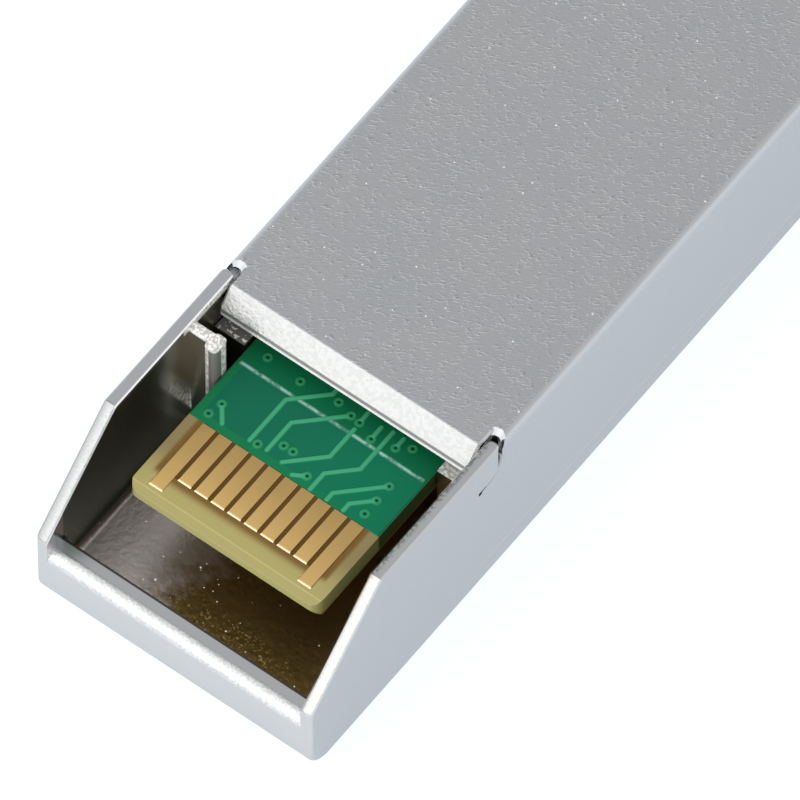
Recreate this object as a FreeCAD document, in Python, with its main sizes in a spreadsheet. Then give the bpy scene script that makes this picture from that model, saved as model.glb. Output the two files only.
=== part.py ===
"""Pluggable optical transceiver module with a duplex fibre socket and a bail latch.

The module lies on its label face, with the side that faces the host board up.
Sheet dimensions are in millimetres: x across the module, y from the nominal end of
the connector side towards the nose, z up from the label face. The end wall's face
stands a little behind that nominal end. Every finished piece is moved along y so
that the origin ends up at the middle of the nominal length.
"""
import FreeCAD, Part
import Sketcher
import math
import os

DIMENSIONS = [
    # Envelope of the module body
    ("body_width", 13.4),
    ("body_height", 8.5),
    ("overall_length", 56.5),
    # Die-cast base
    ("cast_wall", 0.55),
    ("end_wall", 0.72),
    ("end_wall_top", 3.21),
    ("floor_top", 1.4),
    ("heel_overhang", 0.34),
    ("heel_radius", 1.1),
    ("corner_radius", 0.2),
    ("inner_radius", 0.3),
    ("crest_radius", 0.48),
    ("edge_bevel", 0.07),
    ("kink_y", 4.1),
    ("slope_foot_z", 4.42),
    ("seam_y", 10.3),
    ("ledge_z", 1.2),
    ("ledge_bevel", 0.08),
    ("tongue_length", 1.4),
    ("tongue_height", 1.8),
    ("tongue_radius", 0.85),
    ("tongue_tip", 0.24),
    ("base_front", 44.6),
    ("seat_gap", 0.1),
    # Board guides and seats inside the base
    ("rib_y", 8.72),
    ("rib_web", 0.5),
    ("rib_head_width", 0.6),
    ("rib_head_depth", 0.85),
    ("rib_head_radius", 0.2),
    ("rib_head_set", 0.25),
    ("board_side_fit", 0.08),
    ("rib_drop", 0.25),
    ("rib_crown", 0.15),
    ("pillar_depth", 1.2),
    ("pillar_top", 6.45),
    ("rail_width", 0.8),
    ("pedestal_y", 24.0),
    ("pedestal_length", 7.0),
    ("pedestal_width", 9.0),
    ("pedestal_top", 3.6),
    ("pad_inset", 0.2),
    # Folded sheet cover
    ("sheet", 0.5),
    ("cover_bend", 0.4),
    ("lip_crest", 11.2),
    ("lip_edge", 10.3),
    ("lip_bottom", 7.4),
    ("lip_depth", 0.65),
    ("lip_gap", 0.1),
    ("lip_bend", 0.12),
    ("lip_corner", 0.25),
    ("seam_gap", 0.08),
    ("relief_radius", 0.42),
    ("relief_hole_radius", 0.13),
    ("relief_hole_set", 0.1),
    ("relief_bevel", 0.1),
    ("latch_window", 2.8),
    ("latch_window_y", 41.8),
    # Circuit board and its contacts
    ("board_front", 2.8),
    ("board_back", 36.0),
    ("board_bottom", 5.15),
    ("board_thickness", 1.0),
    ("tongue_board_width", 9.2),
    ("board_edge_gap", 0.4),
    ("board_step_y", 12.3),
    ("board_bevel", 0.3),
    ("board_corner", 0.45),
    ("finger_pitch", 0.8),
    ("finger_width", 0.64),
    ("finger_back", 6.7),
    ("finger_setback_long", 0.45),
    ("finger_setback_short", 1.23),
    ("finger_thickness", 0.04),
    # Chips
    ("chip_size", 4.0),
    ("chip_height", 0.9),
    ("chip_offset", 2.3),
    ("controller_size", 5.0),
    ("controller_y", 21.0),
    ("passive_length", 1.0),
    ("passive_width", 0.5),
    ("passive_pitch", 1.6),
    ("passive_row_y", 15.5),
    ("passive_row_step", 14.0),
    # Optical sub-assemblies
    ("port_spacing", 6.25),
    ("port_axis_z", 4.4),
    ("header_back", 36.8),
    ("header_radius", 2.3),
    ("header_disc", 0.8),
    ("can_radius", 1.9),
    ("can_length", 2.6),
    ("can_room", 0.3),
    ("barrel_back", 38.2),
    ("barrel_radius", 2.2),
    ("flange_radius", 2.5),
    ("flange_thickness", 1.1),
    ("nozzle_radius", 1.5),
    ("nozzle_end", 51.5),
    ("light_path_radius", 0.3),
    ("sleeve_radius", 1.1),
    ("sleeve_bore_radius", 0.64),
    ("sleeve_length", 5.4),
    ("sleeve_recess", 0.3),
    ("turned_fit", 0.03),
    ("flex_width", 4.0),
    ("flex_thickness", 0.15),
    ("flex_overlap", 2.8),
    ("flex_drop", 1.6),
    # Clamp that holds the two barrels down on the base
    ("clamp_y", 39.7),
    ("clamp_depth", 2.2),
    ("clamp_top", 7.4),
    ("clamp_split", 0.2),
    ("clamp_shoulder", 1.0),
    ("screw_radius", 0.5),
    ("screw_head_radius", 0.8),
    ("screw_head_height", 0.5),
    ("screw_tip_z", 2.2),
    # Nose with the duplex fibre socket
    ("nose_width", 13.7),
    ("nose_height", 8.6),
    ("nose_stop", 47.5),
    ("nose_face", 55.0),
    ("nose_radius", 0.5),
    ("spigot_back", 42.8),
    ("spigot_fit", 0.1),
    ("socket_back", 46.5),
    ("socket_size", 4.6),
    ("key_width", 2.4),
    ("key_depth", 1.2),
    ("key_back", 48.5),
    ("arm_recess_width", 11.4),
    ("arm_recess_y", 50.4),
    ("bar_recess_y", 53.2),
    ("bar_recess_z", 1.55),
    # Spring collar round the neck of the nose
    ("collar_groove", 0.3),
    ("collar_sheet", 0.15),
    ("collar_band", 0.7),
    ("collar_back", 44.9),
    ("collar_front", 47.3),
    ("collar_bow", 0.35),
    ("collar_bow_below", 0.1),
    ("collar_finger", 1.3),
    ("collar_pitch", 1.7),
    ("collar_fit", 0.02),
    # Latch rocker with its boss, pivot pin and leaf spring
    ("channel_width", 2.7),
    ("channel_end", 53.6),
    ("channel_floor", 7.0),
    ("channel_well", 6.6),
    ("rocker_width", 2.3),
    ("rocker_back", 42.2),
    ("rocker_front", 53.0),
    ("rocker_bottom", 7.65),
    ("rocker_top", 8.25),
    ("boss_length", 2.6),
    ("boss_flat", 0.8),
    ("boss_rise", 0.45),
    ("latch_shoulder", 45.0),
    ("rocker_pivot_y", 49.5),
    ("rocker_pivot_z", 7.75),
    ("pin_radius", 0.4),
    ("pin_half_length", 1.8),
    ("running_fit", 0.05),
    ("eye_radius", 0.62),
    ("spring_width", 1.6),
    ("spring_sheet", 0.12),
    ("spring_foot", 1.1),
    ("spring_reach", 2.2),
    ("spring_fit", 0.02),
    # Wire bail with a moulded sleeve on its cross bar
    ("bail_wire_radius", 0.42),
    ("bail_pivot_y", 51.5),
    ("bail_pivot_z", 7.45),
    ("bail_arm_x", 6.35),
    ("bail_stub_end", 4.8),
    ("bail_bar_y", 55.85),
    ("bail_bar_z", 0.75),
    ("bail_eye_radius", 0.56),
    ("bail_bar_bend", 1.3),
    ("bail_stub_room", 0.1),
    ("bail_sleeve_radius", 0.62),
    ("bail_sleeve_length", 9.0),
]

FINGER_COUNT = 10
PASSIVE_ROWS = 2
PASSIVE_COLUMNS = 5
COLLAR_FINGERS_SIDE = 4
COLLAR_FINGERS_WIDE = 7
# Far enough to pass any face, and a small overlap that makes joined blocks one solid
BIG = 100.0
BITE = 0.1

doc = FreeCAD.newDocument("transceiver")
sheet = doc.addObject("Spreadsheet::Sheet", "dims")


class Size:
    """A length that carries its number and the sheet expression that gives it."""

    def __init__(self, value, text):
        self.value = value
        self.text = text

    @staticmethod
    def of(other):
        if isinstance(other, Size):
            return other
        return Size(float(other), "%.6f" % other)

    def __add__(self, other):
        other = Size.of(other)
        return Size(self.value + other.value, "(%s + %s)" % (self.text, other.text))

    def __sub__(self, other):
        other = Size.of(other)
        return Size(self.value - other.value, "(%s - %s)" % (self.text, other.text))

    def __mul__(self, factor):
        factor = Size.of(factor)
        return Size(self.value * factor.value, "(%s * %s)" % (self.text, factor.text))

    def __truediv__(self, divisor):
        divisor = Size.of(divisor)
        return Size(self.value / divisor.value, "(%s / %s)" % (self.text, divisor.text))

    def __neg__(self):
        return Size(-self.value, "(-%s)" % self.text)

    def __radd__(self, other):
        return Size.of(other) + self

    def __rsub__(self, other):
        return Size.of(other) - self

    def __rmul__(self, other):
        return Size.of(other) * self


class Dimensions:
    """The sheet's cells, read by name."""


d = Dimensions()
for row, (alias, number) in enumerate(DIMENSIONS, start=1):
    sheet.set("A%d" % row, alias)
    sheet.set("B%d" % row, str(number))
    sheet.setAlias("B%d" % row, alias)
    setattr(d, alias, Size(number, "dims.%s" % alias))
doc.recompute()

# Lengths that several pieces share
half_width = d.body_width / 2
inner_half = half_width - d.cast_wall
cover_inner_half = half_width - d.sheet
datum_y = d.overall_length / 2
board_top = d.board_bottom + d.board_thickness
port_x = d.port_spacing / 2
seat_y = d.base_front + d.seat_gap
tongue_bottom = d.body_height - d.tongue_height
tongue_end = d.seam_y + d.tongue_length
boss_top = d.body_height + d.boss_rise


def bind(obj, prop, size):
    """Set one property of an object from a length."""
    obj.setExpression(prop, Size.of(size).text)


def move(obj, x=0, y=0, z=0):
    """Bind an object's place."""
    bind(obj, "Placement.Base.x", x)
    bind(obj, "Placement.Base.y", y)
    bind(obj, "Placement.Base.z", z)


def box(name, x0, x1, y0, y1, z0, z1):
    """Block between two corners."""
    block = doc.addObject("Part::Box", name)
    for prop, low, high in (("Length", x0, x1), ("Width", y0, y1), ("Height", z0, z1)):
        bind(block, prop, Size.of(high) - low)
    move(block, x0, y0, z0)
    return block


def across(name, half, y0, y1, z0, z1):
    """Block that is centred on the module's middle plane."""
    return box(name, -Size.of(half), half, y0, y1, z0, z1)


TURNS = {
    "x": FreeCAD.Rotation(FreeCAD.Vector(0, 1, 0), 90),
    "y": FreeCAD.Rotation(FreeCAD.Vector(1, 0, 0), -90),
    "z": FreeCAD.Rotation(),
}


def cylinder(name, axis, x, y, z, radius, length):
    """Round bar that starts at a point and runs along one axis."""
    bar = doc.addObject("Part::Cylinder", name)
    bind(bar, "Radius", radius)
    bind(bar, "Height", length)
    bar.Placement = FreeCAD.Placement(FreeCAD.Vector(), TURNS[axis])
    move(bar, x, y, z)
    return bar


def flare(name, x, y, z, radius, depth):
    """Cone that opens upwards at 45 degrees from a radius, a little past its depth."""
    cone = doc.addObject("Part::Cone", name)
    bind(cone, "Radius1", radius)
    bind(cone, "Radius2", radius + depth + BITE)
    bind(cone, "Height", depth + BITE)
    move(cone, x, y, z)
    return cone


def fuse(name, *shapes):
    """One solid from several that touch, or a group of solids that do not."""
    joined = doc.addObject("Part::MultiFuse", name)
    joined.Shapes = list(shapes)
    joined.Refine = True
    return joined


def cut(name, base, *tools):
    """A shape with other shapes taken away."""
    tool = tools[0] if len(tools) == 1 else fuse(name + "_tools", *tools)
    result = doc.addObject("Part::Cut", name)
    result.Base = base
    result.Tool = tool
    result.Refine = True
    return result


def mirror(name, shape):
    """The same shape on the other side of the middle plane."""
    other = doc.addObject("Part::Mirroring", name)
    other.Source = shape
    other.Normal = FreeCAD.Vector(1, 0, 0)
    return other


def group(name, shapes):
    """Separate solids kept as one piece of the model."""
    result = doc.addObject("Part::Compound", name)
    result.Links = shapes
    return result


def softened(kind, name, base, size, picks):
    """Take one size off the edges whose bounding boxes satisfy the test."""
    doc.recompute()
    result = doc.addObject(kind, name)
    result.Base = base
    result.Edges = [(number, size.value, size.value)
                    for number, edge in enumerate(base.Shape.Edges, start=1) if picks(edge.BoundBox)]
    return result


def rounded(name, base, radius, picks):
    """Round the picked edges."""
    return softened("Part::Fillet", name, base, radius, picks)


def bevelled(name, base, leg, picks):
    """Bevel the picked edges at 45 degrees."""
    return softened("Part::Chamfer", name, base, leg, picks)


def near(value, size):
    """True where a number lies on a given length."""
    return abs(value - Size.of(size).value) < 1e-4


def runs(edge, axis):
    """True where an edge is straight along one axis."""
    lengths = {"x": edge.XLength, "y": edge.YLength, "z": edge.ZLength}
    along = lengths.pop(axis)
    return along > 1e-4 and max(lengths.values()) < 1e-4


PLANES = {"x": "YZ_Plane", "y": "XZ_Plane", "z": "XY_Plane"}


def sketched_body(name, axis, points):
    """A body with one closed sketch of straight lines on an origin plane."""
    body = doc.addObject("PartDesign::Body", name)
    plane = [f for f in body.Origin.OriginFeatures if f.Role == PLANES[axis]][0]
    sketch = body.newObject("Sketcher::SketchObject", name + "_sketch")
    sketch.AttachmentSupport = [(plane, "")]
    sketch.MapMode = "FlatFace"
    points = [(Size.of(u), Size.of(v)) for u, v in points]
    corners = [FreeCAD.Vector(u.value, v.value, 0) for u, v in points]
    count = len(points)
    for i in range(count):
        sketch.addGeometry(Part.LineSegment(corners[i], corners[(i + 1) % count]), False)
    for i in range(count):
        sketch.addConstraint(Sketcher.Constraint("Coincident", i, 2, (i + 1) % count, 1))
    for i, (u, v) in enumerate(points):
        for kind, size in (("DistanceX", u), ("DistanceY", v)):
            number = sketch.addConstraint(Sketcher.Constraint(kind, -1, 1, i, 1, size.value))
            sketch.setExpression("Constraints[%d]" % number, size.text)
    return body, sketch


def extruded(name, axis, points, width):
    """A sketched outline padded to both sides of its plane."""
    body, sketch = sketched_body(name, axis, points)
    pad = body.newObject("PartDesign::Pad", name + "_pad")
    pad.Profile = sketch
    pad.Midplane = True
    bind(pad, "Length", width)
    return body


def turned(name, points):
    """A lathe profile of (radius, y) corners, turned about the y axis."""
    body, sketch = sketched_body(name, "z", points)
    turn = body.newObject("PartDesign::Revolution", name + "_turn")
    turn.Profile = sketch
    turn.ReferenceAxis = (sketch, ["V_Axis"])
    turn.Angle = 360
    return body


pieces = []


def finish(shape, label, x=0, z=0):
    """Name a finished piece and move it to the module's own origin."""
    shape.Label = label
    move(shape, x, -datum_y, z)
    pieces.append(shape)


def port_sides():
    """The transmit port is on the left of the middle plane, the receive port on the right."""
    return (("transmit", -port_x), ("receive", port_x))


def make_base_casting():
    """Die-cast tray: open bucket round the board edge, floor, guides, rails and barrel cradle."""
    rear_y = -d.heel_overhang
    envelope = across("base_envelope", half_width, rear_y, d.base_front, 0, d.body_height)
    heel = rounded("base_heel", envelope, d.heel_radius,
                   lambda e: runs(e, "x") and near(e.YMin, rear_y) and near(e.ZMax, 0))
    corners = rounded("base_corners", heel, d.corner_radius,
                      lambda e: runs(e, "z") and near(e.YMin, rear_y))
    hollow = across("bucket_hollow", inner_half, d.end_wall, d.seam_y + d.pillar_depth, d.floor_top, BIG)
    hollow_soft = rounded("bucket_hollow_soft", hollow, d.inner_radius,
                          lambda e: near(e.ZMin, d.floor_top) and near(e.ZMax, d.floor_top)
                          or runs(e, "z") and near(e.YMin, d.end_wall))
    over_wall = across("over_end_wall", inner_half, -1, d.end_wall + d.inner_radius, d.end_wall_top, BIG)
    slope_run = d.kink_y + 1
    slope_drop = (d.body_height - d.slope_foot_z) * slope_run / d.kink_y
    over_slope = extruded("over_slope", "x",
                          [(d.kink_y, d.body_height), (-1, d.body_height - slope_drop),
                           (-1, d.body_height + 1), (d.kink_y, d.body_height + 1)], d.body_width + 2)
    over_front = across("over_front", half_width + 1, d.seam_y, BIG, d.ledge_z, BIG)
    open_shell = cut("base_open_shell", corners, hollow_soft, over_wall, over_slope, over_front)
    crest = rounded("base_crest", open_shell, d.crest_radius,
                    lambda e: runs(e, "x") and near(e.ZMin, d.end_wall_top) and near(e.YMin, rear_y))
    shell = bevelled("base_shell", crest, d.ledge_bevel,
                     lambda e: runs(e, "y") and near(e.ZMin, d.ledge_z) and near(abs(e.XMin), half_width))

    tongue_block = box("tongue_block", inner_half, half_width, d.seam_y - 1, tongue_end,
                       tongue_bottom, d.body_height)
    tongue_side = rounded("tongue_side", tongue_block, d.tongue_radius,
                          lambda e: runs(e, "x") and near(e.YMin, tongue_end) and near(e.ZMin, tongue_bottom))
    tongue_plan = rounded("tongue_plan", tongue_block, d.tongue_tip,
                          lambda e: runs(e, "z") and near(e.YMin, tongue_end))
    tongue = doc.addObject("Part::MultiCommon", "tongue")
    tongue.Shapes = [tongue_side, tongue_plan]
    walls = fuse("base_walls", shell, tongue, mirror("tongue_left", tongue))
    walls_soft = bevelled("base_walls_soft", walls, d.edge_bevel,
                          lambda e: near(e.XMax, e.XMin) and e.ZMin > d.end_wall_top.value and
                          e.YMax - e.YMin > d.kink_y.value / 2)

    head_x = d.tongue_board_width / 2 + d.board_side_fit
    root_z = d.floor_top - BITE
    rib_top = d.body_height - d.rib_drop
    web = box("rib_web", head_x + d.rib_head_width / 2, inner_half + BITE, d.rib_y, d.rib_y + d.rib_web,
              root_z, rib_top)
    web_crown = rounded("rib_web_crown", web, d.rib_crown, lambda e: runs(e, "x") and near(e.ZMin, rib_top))
    head_y = d.rib_y - d.rib_head_set
    head = box("rib_head", head_x, head_x + d.rib_head_width, head_y, head_y + d.rib_head_depth,
               root_z, rib_top)
    head_soft = rounded("rib_head_soft", head, d.rib_head_radius, lambda e: runs(e, "z"))
    head_crown = bevelled("rib_head_crown", head_soft, d.rib_crown, lambda e: near(e.ZMin, rib_top))
    left_rib = mirror("left_rib", fuse("rib", web_crown, head_crown))
    rail_outer = cover_inner_half - d.spigot_fit
    pillar = box("pillar", head_x, rail_outer, d.seam_y, d.seam_y + d.pillar_depth, root_z, d.pillar_top)
    rail = box("rail", rail_outer - d.rail_width, rail_outer, d.board_step_y, d.board_back,
               root_z, d.board_bottom)
    right = fuse("base_right_side", pillar, rail)
    left = mirror("base_left_side", right)

    plinth = across("base_plinth", rail_outer, d.seam_y - BITE, d.base_front, d.ledge_z - BITE, d.floor_top)
    pedestal = across("pedestal", d.pedestal_width / 2, d.pedestal_y, d.pedestal_y + d.pedestal_length,
                      root_z, d.pedestal_top)
    cradle = across("cradle", rail_outer, d.clamp_y, d.clamp_y + d.clamp_depth,
                    root_z, d.port_axis_z - d.clamp_split / 2)
    solid = fuse("base_solid", walls_soft, left_rib, right, left, plinth, pedestal, cradle)
    grooves = [cylinder("cradle_groove_" + side, "y", x, d.clamp_y - 1, d.port_axis_z,
                        d.barrel_radius + d.turned_fit, d.clamp_depth + 2) for side, x in port_sides()]
    screw_hole = cylinder("base_screw_hole", "z", 0, d.clamp_y + d.clamp_depth / 2, d.screw_tip_z,
                          d.screw_radius + d.turned_fit, d.port_axis_z)
    finish(cut("base_casting", solid, screw_hole, *grooves), "base_casting")


def make_cover():
    """Folded sheet: top plate, two sides that stand on the base's ledge, and a bent rear lip."""
    outer = across("cover_outer", half_width, d.seam_y, d.base_front, d.ledge_z, d.body_height)
    outer_bent = rounded("cover_outer_bent", outer, d.cover_bend,
                         lambda e: runs(e, "y") and near(e.ZMin, d.body_height))
    plate_under = d.body_height - d.sheet
    inner = across("cover_inner", cover_inner_half, d.seam_y - 1, d.base_front + 1, 0, plate_under)
    folded = cut("cover_folded", outer_bent, inner)

    relief_y = tongue_end + d.seam_gap
    relief = across("corner_relief", half_width + 1, 0, relief_y, tongue_bottom - d.seam_gap, BIG)
    relief_soft = rounded("corner_relief_soft", relief, d.tongue_radius + d.seam_gap,
                          lambda e: runs(e, "x") and near(e.YMin, relief_y) and
                          near(e.ZMin, tongue_bottom - d.seam_gap))
    arch_x = half_width - d.relief_radius
    arches = []
    for side, x in (("left", -arch_x), ("right", arch_x)):
        arches.append(cylinder("relief_arch_" + side, "z", x, relief_y, tongue_bottom + d.tongue_radius,
                               d.relief_radius, BIG))
        arches.append(flare("relief_flare_" + side, x, relief_y, d.body_height - d.relief_bevel,
                            d.relief_radius, d.relief_bevel))
    hole = cylinder("relief_hole", "x", -BIG, d.seam_y + d.relief_hole_set, tongue_bottom - d.seam_gap,
                    d.relief_hole_radius, 2 * BIG)
    window = across("latch_window", d.latch_window / 2, d.latch_window_y, BIG, tongue_bottom, BIG)
    shell = cut("cover_shell", folded, relief_soft, hole, window, *arches)

    lip_back = relief_y + d.relief_radius + BITE
    lip_half = inner_half - d.lip_gap
    inner_run = (d.lip_crest - d.lip_edge) * (plate_under - d.lip_bottom) / (d.body_height - d.lip_bottom)
    inner_foot = d.lip_edge + d.lip_depth
    lip_sheet = extruded("lip_sheet", "x", [
        (lip_back, d.body_height), (d.lip_crest, d.body_height), (d.lip_edge, d.lip_bottom),
        (inner_foot, d.lip_bottom), (inner_foot + inner_run, plate_under), (lip_back, plate_under)],
        lip_half * 2)
    lip_ends = rounded("lip_ends", lip_sheet, d.lip_corner,
                       lambda e: runs(e, "y") and near(e.ZMax, d.lip_bottom))
    lip = rounded("lip", lip_ends, d.lip_bend, lambda e: runs(e, "x") and near(e.YMin, d.lip_crest))
    joined = fuse("cover_joined", shell, lip)
    cover = bevelled("cover", joined, d.relief_bevel,
                     lambda e: near(e.ZMin, d.body_height) and near(abs(e.XMin), lip_half) and
                     near(abs(e.XMax), lip_half))
    finish(cover, "cover")


def make_board():
    """Circuit board: a narrow tongue with bevelled contact edge and a wider part on the rails."""
    tongue = across("board_tongue", d.tongue_board_width / 2, d.board_front, d.board_step_y + 1,
                    d.board_bottom, board_top)
    corners = rounded("board_corners", tongue, d.board_corner,
                      lambda e: runs(e, "z") and near(e.YMin, d.board_front))
    wide = across("board_wide", cover_inner_half - d.board_edge_gap, d.board_step_y, d.board_back,
                  d.board_bottom, board_top)
    blank = fuse("board_blank", corners, wide)
    bevels = []
    for name, face, away in (("board_bevel_top", board_top, 1), ("board_bevel_bottom", d.board_bottom, -1)):
        bevels.append(extruded(name, "x",
                               [(d.board_front - BITE, face - away * (d.board_bevel + BITE)),
                                (d.board_front + d.board_bevel + BITE, face + away * BITE),
                                (d.board_front - BITE, face + away * BITE)], d.body_width))
    finish(cut("circuit_board", blank, *bevels), "circuit_board")


def make_fingers(label, z0, z1):
    """A row of gold contact pads. The two outer ones reach nearer to the board's edge."""
    pads = []
    for i in range(FINGER_COUNT):
        x = d.finger_pitch * (i - (FINGER_COUNT - 1) / 2)
        outermost = i in (0, FINGER_COUNT - 1)
        setback = d.finger_setback_long if outermost else d.finger_setback_short
        pads.append(box("%s_%d" % (label, i), x - d.finger_width / 2, x + d.finger_width / 2,
                        d.board_front + setback, d.finger_back, z0, z1))
    finish(group(label, pads), label)


def make_chips():
    """Driver and receiver chips below the board, controller and small passives above it."""
    chip_y = d.pedestal_y + d.pedestal_length / 2
    chip_bottom = d.board_bottom - d.chip_height
    half_chip = d.chip_size / 2
    for label, x in (("driver_chip", -d.chip_offset), ("receiver_chip", d.chip_offset)):
        block = box(label + "_block", x - half_chip, x + half_chip, chip_y - half_chip, chip_y + half_chip,
                    chip_bottom, d.board_bottom)
        finish(group(label, [block]), label)

    pad = across("thermal_pad_block", d.pedestal_width / 2 - d.pad_inset, d.pedestal_y + d.pad_inset,
                 d.pedestal_y + d.pedestal_length - d.pad_inset, d.pedestal_top, chip_bottom)
    finish(group("thermal_pad", [pad]), "thermal_pad")

    half = d.controller_size / 2
    controller = across("controller_block", half, d.controller_y - half, d.controller_y + half,
                        board_top, board_top + d.chip_height)
    finish(group("controller_chip", [controller]), "controller_chip")

    passives = []
    for row in range(PASSIVE_ROWS):
        y = d.passive_row_y + d.passive_row_step * row
        for column in range(PASSIVE_COLUMNS):
            x = d.passive_pitch * (column - (PASSIVE_COLUMNS - 1) / 2)
            passives.append(box("passive_%d_%d" % (row, column),
                                x - d.passive_width / 2, x + d.passive_width / 2,
                                y, y + d.passive_length, board_top, board_top + d.passive_width))
    finish(group("passives", passives), "passives")


def make_optics():
    """For each port a turned barrel, a ceramic sleeve, a can on its header and a flexible circuit."""
    can_back = d.header_back + d.header_disc
    can_end = can_back + d.can_length
    flange_front = seat_y
    flange_back = flange_front - d.flange_thickness
    can_bore_end = can_end + d.can_room
    sleeve_front = d.nozzle_end - d.sleeve_recess
    sleeve_back = sleeve_front - d.sleeve_length
    sleeve_bore = d.sleeve_radius + d.turned_fit
    for side, x in port_sides():
        barrel = turned(side + "_barrel", [
            (d.can_radius + d.turned_fit, d.barrel_back), (d.barrel_radius, d.barrel_back),
            (d.barrel_radius, flange_back), (d.flange_radius, flange_back),
            (d.flange_radius, flange_front), (d.nozzle_radius, flange_front),
            (d.nozzle_radius, d.nozzle_end), (sleeve_bore, d.nozzle_end), (sleeve_bore, sleeve_back),
            (d.light_path_radius, sleeve_back), (d.light_path_radius, can_bore_end),
            (d.can_radius + d.turned_fit, can_bore_end)])
        finish(barrel, side + "_barrel", x, d.port_axis_z)
        sleeve = turned(side + "_sleeve", [
            (d.sleeve_bore_radius, sleeve_back), (d.sleeve_radius, sleeve_back),
            (d.sleeve_radius, sleeve_front), (d.sleeve_bore_radius, sleeve_front)])
        finish(sleeve, side + "_sleeve", x, d.port_axis_z)
        can = turned(side + "_can", [
            (0, d.header_back), (d.header_radius, d.header_back), (d.header_radius, can_back),
            (d.can_radius, can_back), (d.can_radius, can_end), (0, can_end)])
        finish(can, side + "_can", x, d.port_axis_z)
        low = d.port_axis_z - d.flex_drop
        back = d.header_back - d.flex_thickness
        flex_top = board_top + d.flex_thickness
        flex = extruded(side + "_flex", "x", [
            (back, low), (d.header_back, low), (d.header_back, flex_top),
            (d.board_back - d.flex_overlap, flex_top), (d.board_back - d.flex_overlap, board_top),
            (back, board_top)], d.flex_width)
        finish(flex, side + "_flex", x)


def make_clamp():
    """Saddle that holds both barrels down on the base's cradle, with one screw between them."""
    middle_y = d.clamp_y + d.clamp_depth / 2
    clamp_half = cover_inner_half - d.spigot_fit
    block = across("clamp_block", clamp_half, d.clamp_y, d.clamp_y + d.clamp_depth,
                   d.port_axis_z + d.clamp_split / 2, d.clamp_top)
    shoulders = rounded("clamp_shoulders", block, d.clamp_shoulder,
                        lambda e: runs(e, "y") and near(e.ZMin, d.clamp_top))
    grooves = [cylinder("clamp_groove_" + side, "y", x, d.clamp_y - 1, d.port_axis_z,
                        d.barrel_radius + d.turned_fit, d.clamp_depth + 2) for side, x in port_sides()]
    hole = cylinder("clamp_hole", "z", 0, middle_y, 0, d.screw_radius + d.turned_fit, BIG)
    finish(cut("optics_clamp", shoulders, hole, *grooves), "optics_clamp")

    shank = cylinder("screw_shank", "z", 0, middle_y, d.screw_tip_z, d.screw_radius,
                     d.clamp_top - d.screw_tip_z)
    head = cylinder("screw_head", "z", 0, middle_y, d.clamp_top, d.screw_head_radius, d.screw_head_height)
    finish(fuse("clamp_screw", shank, head), "clamp_screw")


def make_receptacle():
    """Die-cast nose: two fibre sockets, a channel for the latch rocker and seats for the bail."""
    nose_half = d.nose_width / 2
    nose = across("nose_block", nose_half, d.nose_stop, d.nose_face, 0, d.nose_height)
    nose_soft = rounded("nose_soft", nose, d.nose_radius, lambda e: runs(e, "y"))
    neck_half = half_width - d.collar_groove
    neck = across("neck", neck_half, seat_y, d.nose_stop, d.collar_groove, d.body_height - d.collar_groove)
    spigot_half = cover_inner_half - d.spigot_fit
    spigot = across("spigot", spigot_half, d.spigot_back, seat_y, d.floor_top + d.spigot_fit,
                    d.body_height - d.sheet - d.spigot_fit)
    solid = fuse("receptacle_solid", nose_soft, neck, spigot)

    half_socket = d.socket_size / 2
    key_top = d.port_axis_z + half_socket + d.key_depth
    tools = []
    for side, x in port_sides():
        tools.append(box("socket_" + side, x - half_socket, x + half_socket, d.socket_back, BIG,
                         d.port_axis_z - half_socket, d.port_axis_z + half_socket))
        tools.append(box("key_" + side, x - d.key_width / 2, x + d.key_width / 2, d.key_back, BIG,
                         d.port_axis_z, key_top))
        tools.append(cylinder("nozzle_hole_" + side, "y", x, 0, d.port_axis_z,
                              d.nozzle_radius + d.turned_fit, BIG))
        tools.append(cylinder("flange_hole_" + side, "y", x, 0, d.port_axis_z,
                              d.flange_radius + d.turned_fit, seat_y))
    half_recess = d.arm_recess_width / 2
    for side, low, high in (("left", -BIG, -half_recess), ("right", half_recess, BIG)):
        tools.append(box("arm_recess_" + side, low, high, d.arm_recess_y, BIG, -1, BIG))
    tools.append(across("bar_recess", BIG, d.bar_recess_y, BIG, -1, d.bar_recess_z))
    half_channel = d.channel_width / 2
    tools.append(across("rocker_channel", half_channel, 0, d.channel_end, d.channel_floor, BIG))
    tools.append(across("rocker_well", half_channel, 0, d.socket_back, d.channel_well, BIG))
    tools.append(cylinder("pin_hole", "x", -d.pin_half_length, d.rocker_pivot_y, d.rocker_pivot_z,
                          d.pin_radius + d.turned_fit, d.pin_half_length * 2))
    stub_hole = d.bail_wire_radius + d.running_fit
    stub_room = d.bail_stub_end - d.bail_stub_room
    tools.append(cylinder("stub_hole_right", "x", stub_room, d.bail_pivot_y, d.bail_pivot_z, stub_hole, BIG))
    tools.append(cylinder("stub_hole_left", "x", -stub_room - BIG, d.bail_pivot_y, d.bail_pivot_z,
                          stub_hole, BIG))
    finish(cut("fibre_receptacle", solid, *tools), "fibre_receptacle")


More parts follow.
